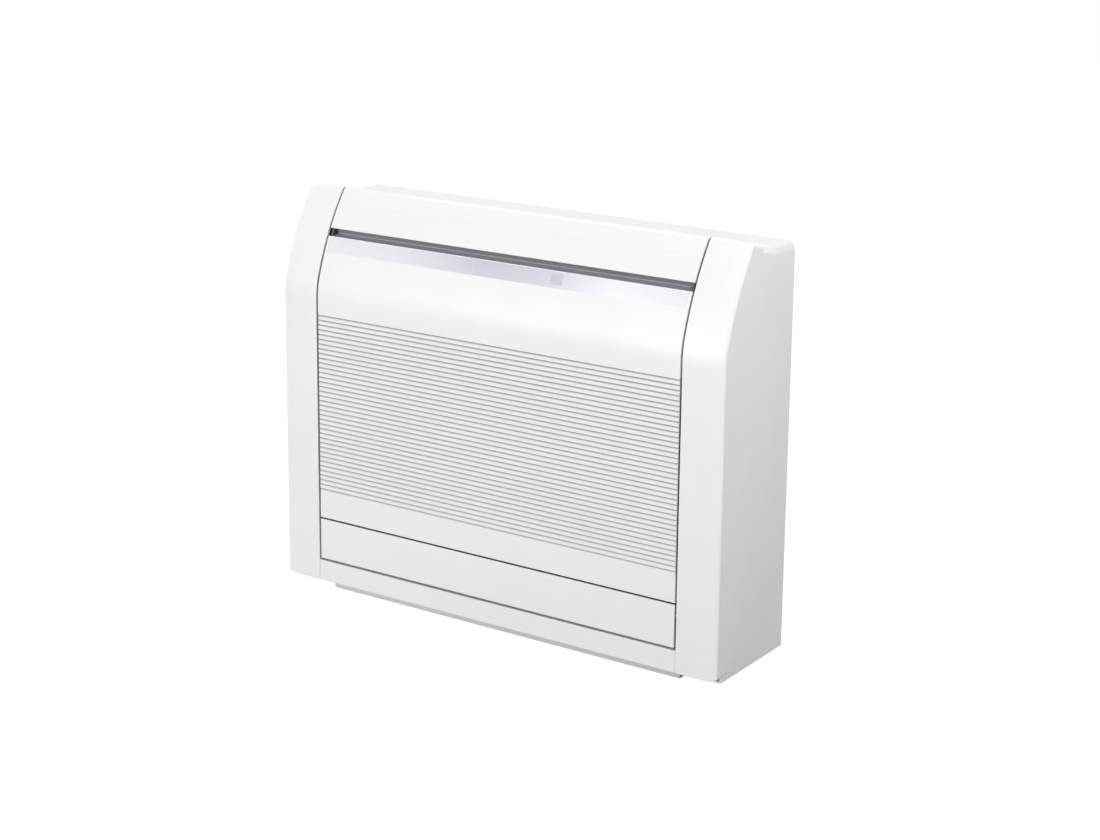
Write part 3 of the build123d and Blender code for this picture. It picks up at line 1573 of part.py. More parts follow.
with BuildPart() as control_board:
    board_x = box_x[0] + box_wall + circuit_gap
    parts_x = board_x + board_thickness
    circuit_y = (box_y[0] + circuit_margin, box_y[1] - circuit_margin / 2)
    circuit_z = (box_z[0] + circuit_low_rise, box_z[1] - circuit_margin)
    block((board_x, parts_x), circuit_y, circuit_z)
    for post_y in (circuit_y[0] + post_inset, circuit_y[1] - post_inset):
        for post_z in (circuit_z[0] + post_inset, circuit_z[1] - post_inset):
            rod_x((post_y, post_z), post_radius, (box_x[0] + box_wall, board_x + root))
    for chip_y, chip_z, chip_depth, chip_height, chip_reach in circuit_parts:
        block(
            (parts_x - root, parts_x + chip_reach),
            wide(chip_y, chip_depth),
            wide(chip_z, chip_height),
        )
    for can_place in can_places:
        rod_x(can_place, can_radius, (parts_x - root, parts_x + can_height))
save(control_board, "control_board")

with BuildPart() as terminal_block:
    block_x = (box_x[0] + box_wall, box_x[0] + box_wall + terminal_depth)
    terminal_middle = (
        (terminal_y[0] + terminal_y[1]) / 2,
        (terminal_z[0] + terminal_z[1]) / 2,
    )
    block(block_x, terminal_y, terminal_z)
    for terminal in range(terminal_count):
        place_y = terminal_middle[0] + (terminal - (terminal_count - 1) / 2) * terminal_pitch
        rod_x(
            (place_y, terminal_middle[1]),
            terminal_screw_radius,
            (block_x[1] - root, block_x[1] + terminal_screw_height),
        )
        block(
            (block_x[1] - terminal_slot[2], block_x[1] + cut_past),
            wide(place_y, terminal_slot[0]),
            (terminal_z[1] - terminal_slot[1], terminal_z[1] + cut_past),
            mode=Mode.SUBTRACT,
        )
save(terminal_block, "terminal_block")

with BuildPart() as cable_gland:
    gland_y = (back_plate_y - gland_inside, back_y - gland_outer_setback)
    rod_y((gland_x, gland_z), gland_radius, gland_y)
    rod_y((gland_x, gland_z), gland_radius + gland_flange, (gland_y[0], back_plate_y - gland_play))
    rod_y((gland_x, gland_z), gland_bore, cut_through(gland_y), mode=Mode.SUBTRACT)
save(cable_gland, "cable_gland")

with BuildPart() as room_sensor:
    block(
        wide(sensor_place[0], sensor_size[0]),
        wide(sensor_place[1], sensor_size[1]),
        (sensor_z, sensor_z + sensor_size[2]),
    )
    bead_start_z = sensor_z + sensor_size[2] - root
    rod_z(sensor_place, sensor_bead_radius, (bead_start_z, bead_start_z + sensor_bead_height))
save(room_sensor, "room_sensor")

# ================================================================ pan-head screws of the bracket and the box's cover
with BuildPart() as pan_screws:
    post_places = [
        (side_x, fan_z + side_z)
        for side_x in (-motor_post_spacing / 2, motor_post_spacing / 2)
        for side_z in (-motor_post_spacing / 2, motor_post_spacing / 2)
    ]
    for places, seat_y in ((post_places, motor_back_y), (box_screw_places, box_cover_y[0])):
        for place in places:
            rod_y(place, screw_radius, (seat_y - root, seat_y + screw_length))
            rod_y(place, screw_head_radius, (seat_y - screw_head_height, seat_y))
save(pan_screws, "pan_screws")

# ================================================================ heat exchanger
with BuildPart() as coil_fins:
    fin_total = int(2 * coil_half_width / fin_pitch) - 1
    with BuildSketch(Plane.XY.offset(coil_low_z)):
        with Locations((0.0, coil_back_y - fin_web / 2)):
            Rectangle(2 * coil_half_width - 2 * end_plate_thickness, fin_web)
        with Locations((0.0, header_y)):
            with GridLocations(fin_pitch, coil_thickness, fin_total, 1):
                Rectangle(fin_thickness, coil_thickness)
    extrude(amount=coil_high_z - coil_low_z)
save(coil_fins, "coil_fins")

with BuildPart() as coil_end_plates:
    for side in (-1, 1):
        plate_x = mirrored(side, coil_half_width - end_plate_thickness, coil_half_width)
        block(
            plate_x,
            (coil_front_y - end_plate_margin, coil_back_y + end_plate_margin),
            (coil_low_z - end_plate_foot, coil_high_z + end_plate_margin),
        )
        # ears that hang the coil on the orifice plate
        for ear_z in (coil_low_z + ear_inset, coil_high_z - ear_inset):
            block(plate_x, (coil_back_y, partition_y), wide(ear_z, ear_height))
save(coil_end_plates, "coil_end_plates")

with BuildPart() as coil_tubes:
    tube_pitch = (coil_high_z - coil_low_z) / tube_rows
    near_y = header_y - tube_bend_radius
    far_y = header_y + tube_bend_radius
    for side in (-1, 1):
        plate_face_x = side * coil_half_width
        bend_x = side * (coil_half_width + tube_stub)
        for row in range(tube_rows):
            tube_z = coil_low_z + tube_pitch * (row + 0.5)
            with BuildLine() as bend_path:
                Line((plate_face_x, near_y, tube_z), (bend_x, near_y, tube_z))
                ThreePointArc(
                    (bend_x, near_y, tube_z),
                    (bend_x + side * tube_bend_radius, header_y, tube_z),
                    (bend_x, far_y, tube_z),
                )
                Line((bend_x, far_y, tube_z), (plate_face_x, far_y, tube_z))
            tube_end = Plane(origin=(plate_face_x, near_y, tube_z), z_dir=(side, 0, 0))
            with BuildSketch(tube_end) as bend_ring:
                Circle(tube_radius)
            sweep(bend_ring.sketch, path=bend_path.line)
save(coil_tubes, "coil_tubes")

# ================================================================ pipes from the coil to the unions


def pipe(radius, start_z, end_z, lane_x):
    """Pipe from the coil's end through the left bulkhead and back to its union."""
    start = (-coil_half_width - pipe_reach, header_y, start_z)
    with BuildLine() as route:
        FilletPolyline(
            start,
            (lane_x, header_y, start_z),
            (lane_x, header_y, end_z),
            (lane_x, union_nut_y - union_socket[1] - union_socket_play, end_z),
            radius=pipe_bend,
        )
    with BuildSketch(Plane(origin=start, z_dir=(-1, 0, 0))) as ring:
        Circle(radius)
    sweep(ring.sketch, path=route.line)


with BuildPart() as gas_pipe:
    pipe(gas_tube_radius, gas_start_z, gas_z, gas_x)
save(gas_pipe, "gas_pipe")

with BuildPart() as liquid_pipe:
    pipe(liquid_tube_radius, liquid_start_z, liquid_z, liquid_x)
save(liquid_pipe, "liquid_pipe")


def flare_union(place, bore_radius, thread_radius, hex_radius):
    """Brass union: hexagon, thread and flare cone, open towards the wall."""
    with BuildSketch(Plane.XZ.offset(-union_nut_y)) as hexagon:
        with Locations(place):
            RegularPolygon(hex_radius, 6)
    extrude(hexagon.sketch, amount=union_nut_length)
    rod_y(place, thread_radius, (union_nut_y - root, union_back_y))
    rod_y(
        place,
        bore_radius * union_bore_share,
        (union_nut_y - union_bore_depth, union_back_y + cut_past),
        mode=Mode.SUBTRACT,
    )
    with BuildSketch(Plane.XZ.offset(-union_back_y)) as rim:
        with Locations(place):
            Circle(thread_radius + 2 * cut_past)
            Circle(thread_radius - flare_depth, mode=Mode.SUBTRACT)
    extrude(rim.sketch, amount=flare_depth, taper=-45, mode=Mode.SUBTRACT)
    rod_y(
        place,
        bore_radius + union_fit,
        (union_nut_y - union_socket[0], union_nut_y - union_socket[1]),
        mode=Mode.SUBTRACT,
    )


with BuildPart() as gas_union:
    flare_union((gas_x, gas_z), gas_tube_radius, gas_thread_radius, gas_nut_radius)
save(gas_union, "gas_union")

with BuildPart() as liquid_union:
    flare_union((liquid_x, liquid_z), liquid_tube_radius, liquid_thread_radius, liquid_nut_radius)
save(liquid_union, "liquid_union")

# ================================================================ drain
pan_y = (front_y + pan_setback, partition_y - touch)
pan_rim_z = coil_low_z - pan_coil_gap
with BuildPart() as drain_pan:
    block(both_ways(inner_half), pan_y, (pan_low_z, pan_rim_z))
    block(
        both_ways(inner_half - pan_wall),
        (pan_y[0] + pan_wall, pan_y[1] - pan_wall),
        (pan_low_z + pan_wall, coil_low_z),
        mode=Mode.SUBTRACT,
    )
    for web_x in pan_web_places:
        block(
            wide(web_x, pan_web_width),
            (pan_y[0] + pan_wall - root, pan_y[1] - pan_wall + root),
            (pan_low_z + pan_wall - root, pan_rim_z),
        )
    rod_x(
        (header_y, drain_start_z),
        drain_bore,
        cut_through((-inner_half, -inner_half + pan_wall)),
        mode=Mode.SUBTRACT,
    )
save(drain_pan, "drain_pan")

with BuildPart() as drain_elbow:
    drain_start = (-inner_half - touch, header_y, drain_start_z)
    drain_mouth = (drain_x, drain_z)
    with BuildLine() as drain_route:
        FilletPolyline(
            drain_start,
            (drain_x, header_y, drain_start_z),
            (drain_x, header_y, drain_z),
            (drain_x, union_back_y, drain_z),
            radius=drain_bend,
        )
    with BuildSketch(Plane(origin=drain_start, z_dir=(-1, 0, 0))) as drain_ring:
        Circle(drain_tube_radius)
    sweep(drain_ring.sketch, path=drain_route.line)
    rod_y(drain_mouth, drain_radius, (union_back_y - drain_spigot_length, union_back_y))
    rod_y(
        drain_mouth,
        drain_bore,
        (union_back_y - drain_spigot_length, union_back_y + cut_past),
        mode=Mode.SUBTRACT,
    )
save(drain_elbow, "drain_elbow")

# ================================================================ filters
filter_y = (front_y + filter_setback, front_y + filter_setback + filter_thickness)
filter_z = (coil_low_z + filter_low_rise, coil_high_z - filter_high_drop)
filter_ranges = (
    (-inner_half + filter_left_margin, filter_seam_x - filter_seam_half),
    (filter_seam_x + filter_seam_half, filter_right_x),
)


def inset_range(limits, margin):
    """Range moved in by a margin at both ends."""
    return (limits[0] + margin, limits[1] - margin)


def build_filter_frame(x_range):
    """Frame with its windows and the seat of its net."""
    window_wide = (x_range[1] - x_range[0] - 2 * filter_rim + filter_bar) / filter_columns
    window_high = (filter_z[1] - filter_z[0] - 2 * filter_rim + filter_bar) / filter_rows
    with BuildPart() as frame:
        block(x_range, filter_y, filter_z)
        with BuildSketch(Plane.XZ.offset(-filter_y[1])):
            with Locations((sum(x_range) / 2, sum(filter_z) / 2)):
                with GridLocations(window_wide, window_high, filter_columns, filter_rows):
                    Rectangle(window_wide - filter_bar, window_high - filter_bar)
        extrude(amount=filter_thickness, mode=Mode.SUBTRACT)
        block(
            inset_range(x_range, net_seat[0]),
            (filter_y[1] - net_seat[1], filter_y[1] + cut_past),
            inset_range(filter_z, net_seat[0]),
            mode=Mode.SUBTRACT,
        )
    return frame


save(build_filter_frame(filter_ranges[0]), "left_filter_frame")
save(build_filter_frame(filter_ranges[1]), "right_filter_frame")

with BuildPart() as filter_nets:
    for filter_x in filter_ranges:
        block(
            inset_range(filter_x, net_seat[0] + net_play),
            wide(filter_y[1] - net_seat[1] / 2, net_thickness),
            inset_range(filter_z, net_seat[0] + net_play),
        )
save(filter_nets, "filter_nets")

with BuildPart() as filter_rails:
    for rail_x in rail_places:
        for rail_z in (filter_z[0] + rail_low_rise, filter_z[1] - rail_high_drop):
            block(
                wide(rail_x, rail_width),
                (filter_y[1], coil_front_y - end_plate_margin),
                wide(rail_z, rail_height),
            )
save(filter_rails, "filter_rails")

# ================================================================ catches of the front panel
with BuildPart() as panel_catches:
    catch_y = (front_y + catch_mouth_setback, partition_y - touch)
    catch_low_z = tongue_z - tongue_thickness / 2 - tongue_play_low - catch_wall
    catch_high_z = tongue_z + tongue_thickness / 2 + tongue_play_high + catch_wall
    for tongue_x in tongue_places:
        side_plate(
            [
                (catch_y[0], catch_low_z),
                (catch_y[0], catch_high_z),
                (catch_y[1] - catch_slope, catch_high_z),
                (catch_y[1], tongue_z),
                (catch_y[1], catch_low_z),
            ],
            wide(tongue_x, tongue_width + 2 * catch_side),
        )
        block(
            wide(tongue_x, tongue_width + 2 * catch_side + 2 * cut_past),
            (catch_y[0] - cut_past, tongue_y[1] + tongue_play_end),
            (catch_low_z + catch_wall, catch_high_z - catch_wall),
            mode=Mode.SUBTRACT,
        )
save(panel_catches, "panel_catches")

# ================================================================ indicator board
with BuildPart() as indicator_board:
    with BuildSketch(board_plane):
        with Locations(((window_x + lamp_positions[0]) / 2, -board_drop)):
            Rectangle(window_x - lamp_positions[0] + 2 * board_margin, board_height)
    extrude(amount=board_thickness)
    with BuildSketch(board_plane.offset(board_thickness - root)):
        with Locations(*lamp_spots):
            Rectangle(lamp_chip, lamp_chip)
        with Locations((window_x, 0.0)):
            Rectangle(*receiver_chip)
    extrude(amount=lamp_chip_height + root)
save(indicator_board, "indicator_board")

# ================================================================ controls behind the panel
control_x = (filter_right_x + control_gap, inner_half - touch)
control_y = (front_y + control_setback, front_y + control_setback + control_wall)
control_z = (control_low_z, control_high_z)
button_place = (sum(control_x) / 2, control_high_z - button_drop)
switch_place = (button_place[0], control_low_z + switch_rise)
flange_front_y = control_y[1] + touch
with BuildPart() as control_plate:
    block(control_x, control_y, control_z)
    block(
        (control_x[1] - control_wall, control_x[1]),
        (control_y[0], control_y[0] + control_side_depth),
        control_z,
    )
    rod_y(button_place, button_radius + slide_clear, cut_through(control_y), mode=Mode.SUBTRACT)
    block(
        wide(switch_place[0], switch_knob[0] + 2 * slide_clear),
        cut_through(control_y),
        wide(switch_place[1] + switch_travel / 2, switch_knob[1] + switch_travel + 2 * slide_clear),
        mode=Mode.SUBTRACT,
    )
save(control_plate, "control_plate")

with BuildPart() as operation_button:
    button_back_y = flange_front_y + button_flange
    rod_y(button_place, button_radius, (control_y[0] - button_proud, button_back_y))
    rod_y(button_place, button_radius + button_flange, (flange_front_y, button_back_y))
    fillet(operation_button.edges().group_by(Axis.Y)[0], radius=button_edge)
save(operation_button, "operation_button")

with BuildPart() as outlet_switch:
    switch_back_y = flange_front_y + button_flange
    block(
        wide(switch_place[0], switch_knob[0]),
        (control_y[0] - switch_proud, switch_back_y),
        wide(switch_place[1], switch_knob[1]),
    )
    block(
        wide(switch_place[0], switch_flange[0]),
        (flange_front_y, switch_back_y),
        wide(switch_place[1], switch_flange[1]),
    )
    fillet(outlet_switch.edges().group_by(Axis.Y)[0], radius=button_edge)
save(outlet_switch, "outlet_switch")
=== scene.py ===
"""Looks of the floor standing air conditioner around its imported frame. Metres; Y runs to the wall."""
import json
from math import cos, radians, sin

import bpy
from mathutils import Matrix, Vector


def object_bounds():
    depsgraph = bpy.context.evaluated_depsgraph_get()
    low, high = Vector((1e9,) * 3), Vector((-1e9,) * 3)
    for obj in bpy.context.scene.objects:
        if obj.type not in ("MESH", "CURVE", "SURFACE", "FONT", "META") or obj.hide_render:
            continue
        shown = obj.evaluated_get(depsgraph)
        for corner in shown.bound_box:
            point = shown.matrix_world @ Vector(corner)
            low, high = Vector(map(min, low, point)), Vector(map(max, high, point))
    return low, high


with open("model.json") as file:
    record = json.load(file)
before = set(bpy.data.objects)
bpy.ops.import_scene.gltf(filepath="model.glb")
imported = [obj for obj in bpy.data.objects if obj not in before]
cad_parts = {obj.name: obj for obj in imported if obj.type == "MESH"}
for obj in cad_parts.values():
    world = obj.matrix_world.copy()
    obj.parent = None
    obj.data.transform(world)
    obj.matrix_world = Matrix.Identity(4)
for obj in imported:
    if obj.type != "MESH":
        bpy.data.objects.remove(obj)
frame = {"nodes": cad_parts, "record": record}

CAD_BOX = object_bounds()
NODES = frame["nodes"]

# ---------------------------------------------------------------- camera, as the photograph was taken
IMAGE_WIDTH = 1100
FOCAL_PIXELS = 2205.6
SENSOR_WIDTH = 36.0
CAMERA_PLACE = (1.7066, -2.4748, 1.1647)
CAMERA_YAW = 34.08
CAMERA_PITCH = 13.05
CAMERA_ROLL = 0.59
CAMERA_RISE = -0.109


def make_camera():
    """Camera at the photograph's viewing angle."""
    yaw, pitch, roll = radians(CAMERA_YAW), radians(CAMERA_PITCH), radians(CAMERA_ROLL)
    back = Vector((sin(yaw) * cos(pitch), -cos(yaw) * cos(pitch), sin(pitch)))
    level_right = (-back).cross(Vector((0, 0, 1))).normalized()
    level_up = level_right.cross(-back)
    right = cos(roll) * level_right + sin(roll) * level_up
    up = cos(roll) * level_up - sin(roll) * level_right
    data = bpy.data.cameras.new("camera")
    data.sensor_width = SENSOR_WIDTH
    data.lens = FOCAL_PIXELS / IMAGE_WIDTH * SENSOR_WIDTH
    data.shift_y = CAMERA_RISE
    data.clip_end = 50.0
    camera = bpy.data.objects.new("camera", data)
    camera.matrix_world = Matrix(
        (
            (right.x, up.x, back.x, CAMERA_PLACE[0]),
            (right.y, up.y, back.y, CAMERA_PLACE[1]),
            (right.z, up.z, back.z, CAMERA_PLACE[2]),
            (0, 0, 0, 1),
        )
    )
    bpy.context.scene.collection.objects.link(camera)
    bpy.context.scene.camera = camera


# ---------------------------------------------------------------- shader helpers
NOISE_ROUGHNESS = 0.55


class Shader:
    """A material's node tree with short calls for the nodes used here."""

    def __init__(self, name):
        self.material = bpy.data.materials.new(name)
        self.material.use_nodes = True
        self.tree = self.material.node_tree
        self.tree.nodes.clear()
        self.output = self.node("ShaderNodeOutputMaterial")
        self.bsdf = self.node("ShaderNodeBsdfPrincipled")
        self.link(self.bsdf.outputs[0], self.output.inputs[0])
        self.place = self.node("ShaderNodeTexCoord").outputs["Object"]

    def node(self, kind, **settings):
        made = self.tree.nodes.new(kind)
        for key, value in settings.items():
            setattr(made, key, value)
        return made

    def link(self, source, target):
        self.tree.links.new(source, target)

    def stretched(self, scale):
        """Object coordinates multiplied by scale (x, y, z)."""
        mapping = self.node("ShaderNodeMapping")
        mapping.inputs["Scale"].default_value = scale
        self.link(self.place, mapping.inputs["Vector"])
        return mapping.outputs[0]

    def noise(self, scale, detail=4.0, vector=None):
        made = self.node("ShaderNodeTexNoise")
        made.inputs["Scale"].default_value = scale
        made.inputs["Detail"].default_value = detail
        made.inputs["Roughness"].default_value = NOISE_ROUGHNESS
        self.link(vector or self.place, made.inputs["Vector"])
        return made.outputs["Fac"]

    def ramp(self, source, low, high, out_low=0.0, out_high=1.0):
        """Source remapped from low..high to out_low..out_high, clamped."""
        made = self.node("ShaderNodeMapRange")
        for key, value in (
            ("From Min", low),
            ("From Max", high),
            ("To Min", out_low),
            ("To Max", out_high),
        ):
            made.inputs[key].default_value = value
        self.link(source, made.inputs["Value"])
        return made.outputs[0]

    def math(self, operation, first, second):
        made = self.node("ShaderNodeMath", operation=operation)
        for slot, value in enumerate((first, second)):
            if isinstance(value, (int, float)):
                made.inputs[slot].default_value = value
            else:
                self.link(value, made.inputs[slot])
        return made.outputs[0]

    def mix(self, factor, first, second):
        """Colour mix; first and second are colours or sockets."""
        made = self.node("ShaderNodeMix", data_type="RGBA")
        if isinstance(factor, (int, float)):
            made.inputs[0].default_value = factor
        else:
            self.link(factor, made.inputs[0])
        for slot, value in ((6, first), (7, second)):
            if isinstance(value, tuple):
                made.inputs[slot].default_value = (*value, 1.0)
            else:
                self.link(value, made.inputs[slot])
        return made.outputs[2]

    def bump(self, height, distance, strength=1.0, onto=None):
        made = self.node("ShaderNodeBump")
        made.inputs["Distance"].default_value = distance
        made.inputs["Strength"].default_value = strength
        self.link(height, made.inputs["Height"])
        if onto is not None:
            self.link(onto, made.inputs["Normal"])
        return made.outputs[0]

    def set(self, **values):
        """Principled inputs: numbers and colours are set, sockets are linked."""
        for key, value in values.items():
            slot = self.bsdf.inputs[key.replace("_", " ")]
            if isinstance(value, tuple):
                slot.default_value = (*value, 1.0)
            elif isinstance(value, (int, float)):
                slot.default_value = value
            else:
                self.link(value, slot)
        return self


# ---------------------------------------------------------------- moulded plastics
# scales are features per metre, heights are metres
DRIFT_SCALE = 5.0
GRAIN_SCALE = 2600.0
GRAIN_HEIGHT = 0.00002
RIPPLE_SCALE = 38.0
RIPPLE_HEIGHT = 0.00004
RIPPLE_STRENGTH = 0.6
SPECK_SHARE = 0.12
RUBBED_FROM = 0.51
RUBBED_FULL = 0.56
RUBBED_SHEEN = 0.05


def moulded(name, colour, shade, roughness, groove=None):
    """Injection-moulded plastic: faint colour drift, fine eroded grain, uneven sheen and rubbed edges;
    with groove given, painted shade deep in the panel's grooves.
    """
    s = Shader(name)
    drift = s.noise(DRIFT_SCALE, detail=3.0)
    speck = s.noise(GRAIN_SCALE, detail=2.0)
    pointed = s.node("ShaderNodeNewGeometry").outputs["Pointiness"]
    worn = s.ramp(pointed, RUBBED_FROM, RUBBED_FULL)
    tone = s.mix(s.ramp(drift, 0.35, 0.65), colour, shade)
    tone = s.mix(s.ramp(speck, 0.3, 0.7, 0.0, SPECK_SHARE), tone, shade)
    sheen = s.math(
        "ADD",
        s.ramp(drift, 0.3, 0.7, roughness - 0.03, roughness + 0.04),
        s.ramp(speck, 0.3, 0.7, -0.02, 0.03),
    )
    sheen = s.math("SUBTRACT", sheen, s.math("MULTIPLY", worn, RUBBED_SHEEN))
    ripple = s.bump(s.noise(RIPPLE_SCALE, detail=2.0), RIPPLE_HEIGHT, RIPPLE_STRENGTH)
    # painted shade: the grille panel's grooves take a grey colour where the lamps would light them
    if groove:
        tone = s.mix(groove_shade_mask(s), tone, groove)
    s.set(Base_Color=tone, Roughness=sheen, Normal=s.bump(speck, GRAIN_HEIGHT, 1.0, ripple))
    return s.material


# where shade is painted into the grille panel's grooves: depth behind the front face and height range
FRONT_Y = CAD_BOX[0][1]
GROOVE_START = 0.0001
GROOVE_DEEP = 0.0016
GROOVE_LOW_Z = 0.1565
GROOVE_HIGH_Z = 0.4245
GROOVE_EDGE = 0.0004


def groove_shade_mask(s):
    """Painted shade mask: 1 deep in the panel's grooves, falling to 0 on its outer face and above and
    below them.
    """
    split = s.node("ShaderNodeSeparateXYZ")
    s.link(s.place, split.inputs[0])
    deep = s.ramp(split.outputs["Y"], FRONT_Y + GROOVE_START, FRONT_Y + GROOVE_DEEP)
    above = s.ramp(split.outputs["Z"], GROOVE_LOW_Z - GROOVE_EDGE, GROOVE_LOW_Z)
    below = s.ramp(split.outputs["Z"], GROOVE_HIGH_Z, GROOVE_HIGH_Z + GROOVE_EDGE, 1.0, 0.0)
    return s.math("MULTIPLY", deep, s.math("MULTIPLY", above, below))


# ---------------------------------------------------------------- bare metals
STREAK_SCALE = 900.0
STREAK_HEIGHT = 0.00002
STREAK_STRENGTH = 0.7
PATCH_SCALE = 42.0
SPANGLE_SHARE = 0.35


def metal(name, colour, shade, roughness, stretch, spangle):
    """Bare metal: drawn or rolled streaks along one direction, dull patches and fine scratches."""
    s = Shader(name)
    streak = s.noise(STREAK_SCALE, detail=5.0, vector=s.stretched(stretch))
    patch = s.noise(PATCH_SCALE)
    tone = s.mix(s.ramp(patch, 0.35, 0.7), colour, shade)
    if spangle:
        cells = s.node("ShaderNodeTexVoronoi", feature="F1")
        cells.inputs["Scale"].default_value = spangle
        s.link(s.place, cells.inputs["Vector"])
        tone = s.mix(s.ramp(cells.outputs["Distance"], 0.1, 0.6, 0.0, SPANGLE_SHARE), tone, shade)
    rough = s.math(
        "ADD",
        s.ramp(streak, 0.3, 0.7, roughness - 0.06, roughness + 0.08),
        s.ramp(patch, 0.3, 0.7, -0.03, 0.05),
    )
    scratched = s.bump(streak, STREAK_HEIGHT, STREAK_STRENGTH)
    s.set(Base_Color=tone, Metallic=1.0, Roughness=rough, Normal=scratched)
    return s.material


# ---------------------------------------------------------------- colours of the record's slots
# name: colour, its darker shade, roughness
MOULDINGS = {
    "white_casing": ((0.87, 0.87, 0.865), (0.84, 0.84, 0.84), 0.38),
    "pale_plinth": ((0.72, 0.71, 0.72), (0.68, 0.67, 0.68), 0.5),
    "inner_grey": ((0.085, 0.085, 0.09), (0.06, 0.06, 0.065), 0.5),
    "vane_grey": ((0.10, 0.10, 0.107), (0.075, 0.075, 0.08), 0.45),
    "fan_plastic": ((0.055, 0.058, 0.065), (0.04, 0.042, 0.047), 0.4),
    "drain_plastic": ((0.03, 0.03, 0.032), (0.022, 0.022, 0.024), 0.5),
    "filter_frame": ((0.09, 0.13, 0.20), (0.07, 0.10, 0.16), 0.42),
    "filter_net": ((0.05, 0.06, 0.075), (0.035, 0.042, 0.055), 0.6),
    "terminal_plastic": ((0.62, 0.60, 0.50), (0.55, 0.53, 0.44), 0.4),
    "switch_plastic": ((0.66, 0.67, 0.68), (0.60, 0.61, 0.62), 0.28),
    "gland_rubber": ((0.018, 0.018, 0.018), (0.026, 0.026, 0.026), 0.75),
    "circuit_board": ((0.02, 0.11, 0.045), (0.015, 0.08, 0.035), 0.35),
    "dark_lens": ((0.60, 0.58, 0.68), (0.55, 0.53, 0.63), 0.16),
    "lamp_lens": ((0.66, 0.69, 0.64), (0.60, 0.64, 0.58), 0.2),
}
# name: colour, its darker shade, roughness, stretch of the streaks, spangles per metre
METALS = {
    "motor_shell": ((0.45, 0.46, 0.48), (0.36, 0.37, 0.39), 0.42, (1, 30, 1), None),
    "swing_motor_shell": ((0.55, 0.56, 0.57), (0.44, 0.45, 0.46), 0.36, (30, 1, 1), None),
    "steel": ((0.60, 0.60, 0.61), (0.48, 0.48, 0.49), 0.32, (1, 25, 1), None),
    "galvanised_sheet": ((0.56, 0.58, 0.60), (0.43, 0.45, 0.47), 0.45, (1, 1, 6), 120.0),
    "fin_aluminium": ((0.78, 0.80, 0.82), (0.64, 0.66, 0.69), 0.36, (1, 1, 12), None),
    "copper_tube": ((0.78, 0.40, 0.24), (0.55, 0.27, 0.17), 0.30, (8, 1, 1), None),
    "union_brass": ((0.77, 0.58, 0.26), (0.60, 0.44, 0.19), 0.26, (1, 18, 1), None),
}
# painted shade colour deep in the grille panel's grooves
GROOVE_SHADE_COLOUR = (0.33, 0.32, 0.355)


def make_materials():
    """One finished material for each of the record's slots, and one for the grooved panel with painted
    shade in its grooves.
    """
    made = {name: moulded(name, *look) for name, look in MOULDINGS.items()}
    made.update({name: metal(name, *look) for name, look in METALS.items()})
    made["panel_white_groove_shade"] = moulded("panel_white_groove_shade", *MOULDINGS["white_casing"], groove=GROOVE_SHADE_COLOUR)
    made["grey_sill"] = sill_painted_light_and_shade()
    made["display_film"] = display_film()
    return made


# painted light and shade on the sill: below this height the ledge is coloured as lit, above it the riser
# is coloured as shaded under the louver
LEDGE_TOP_Z = 0.5378
LEDGE_BLEND = 0.0012
LIT_LEDGE_COLOURS = ((0.40, 0.39, 0.44), (0.36, 0.35, 0.40))
SHADED_RISER_COLOURS = ((0.205, 0.205, 0.21), (0.18, 0.18, 0.185))


def sill_painted_light_and_shade():
    """Grey sill under the louver with painted light and shade: pale lavender ledge along the panel
    coloured as lit from above, darker riser behind it coloured as shaded under the louver.
    """
    s = Shader("grey_sill")
    split = s.node("ShaderNodeSeparateXYZ")
    s.link(s.place, split.inputs[0])
    speck = s.noise(GRAIN_SCALE, detail=2.0)
    riser = s.mix(s.ramp(speck, 0.3, 0.7), *SHADED_RISER_COLOURS)
    ledge = s.mix(s.ramp(speck, 0.3, 0.7), *LIT_LEDGE_COLOURS)
    # painted light and shade: lit ledge colour below, shaded riser colour above
    tone = s.mix(s.ramp(split.outputs["Z"], LEDGE_TOP_Z - LEDGE_BLEND, LEDGE_TOP_Z), ledge, riser)
    s.set(Base_Color=tone, Roughness=s.ramp(speck, 0.3, 0.7, 0.38, 0.46))
    s.set(Normal=s.bump(speck, GRAIN_HEIGHT))
    return s.material


FILM_HALF_WIDTH = 0.301
# painted shading: colours across the film's width, pale at the ends and duller in the middle, standing in
# for light reflected off the glossy film
FILM_PAINTED_SHADING_STOPS = (
    (0.0, (0.72, 0.715, 0.745)),
    (0.22, (0.66, 0.645, 0.69)),
    (0.46, (0.46, 0.445, 0.51)),
    (0.64, (0.50, 0.485, 0.55)),
    (0.8, (0.68, 0.675, 0.715)),
    (1.0, (0.62, 0.615, 0.65)),
)
FLAKE_SCALE = 5200.0
FLAKE_HEIGHT = 0.00001
FLAKE_COLOUR = (0.95, 0.94, 0.98)
FLAKE_SHARE = 0.18


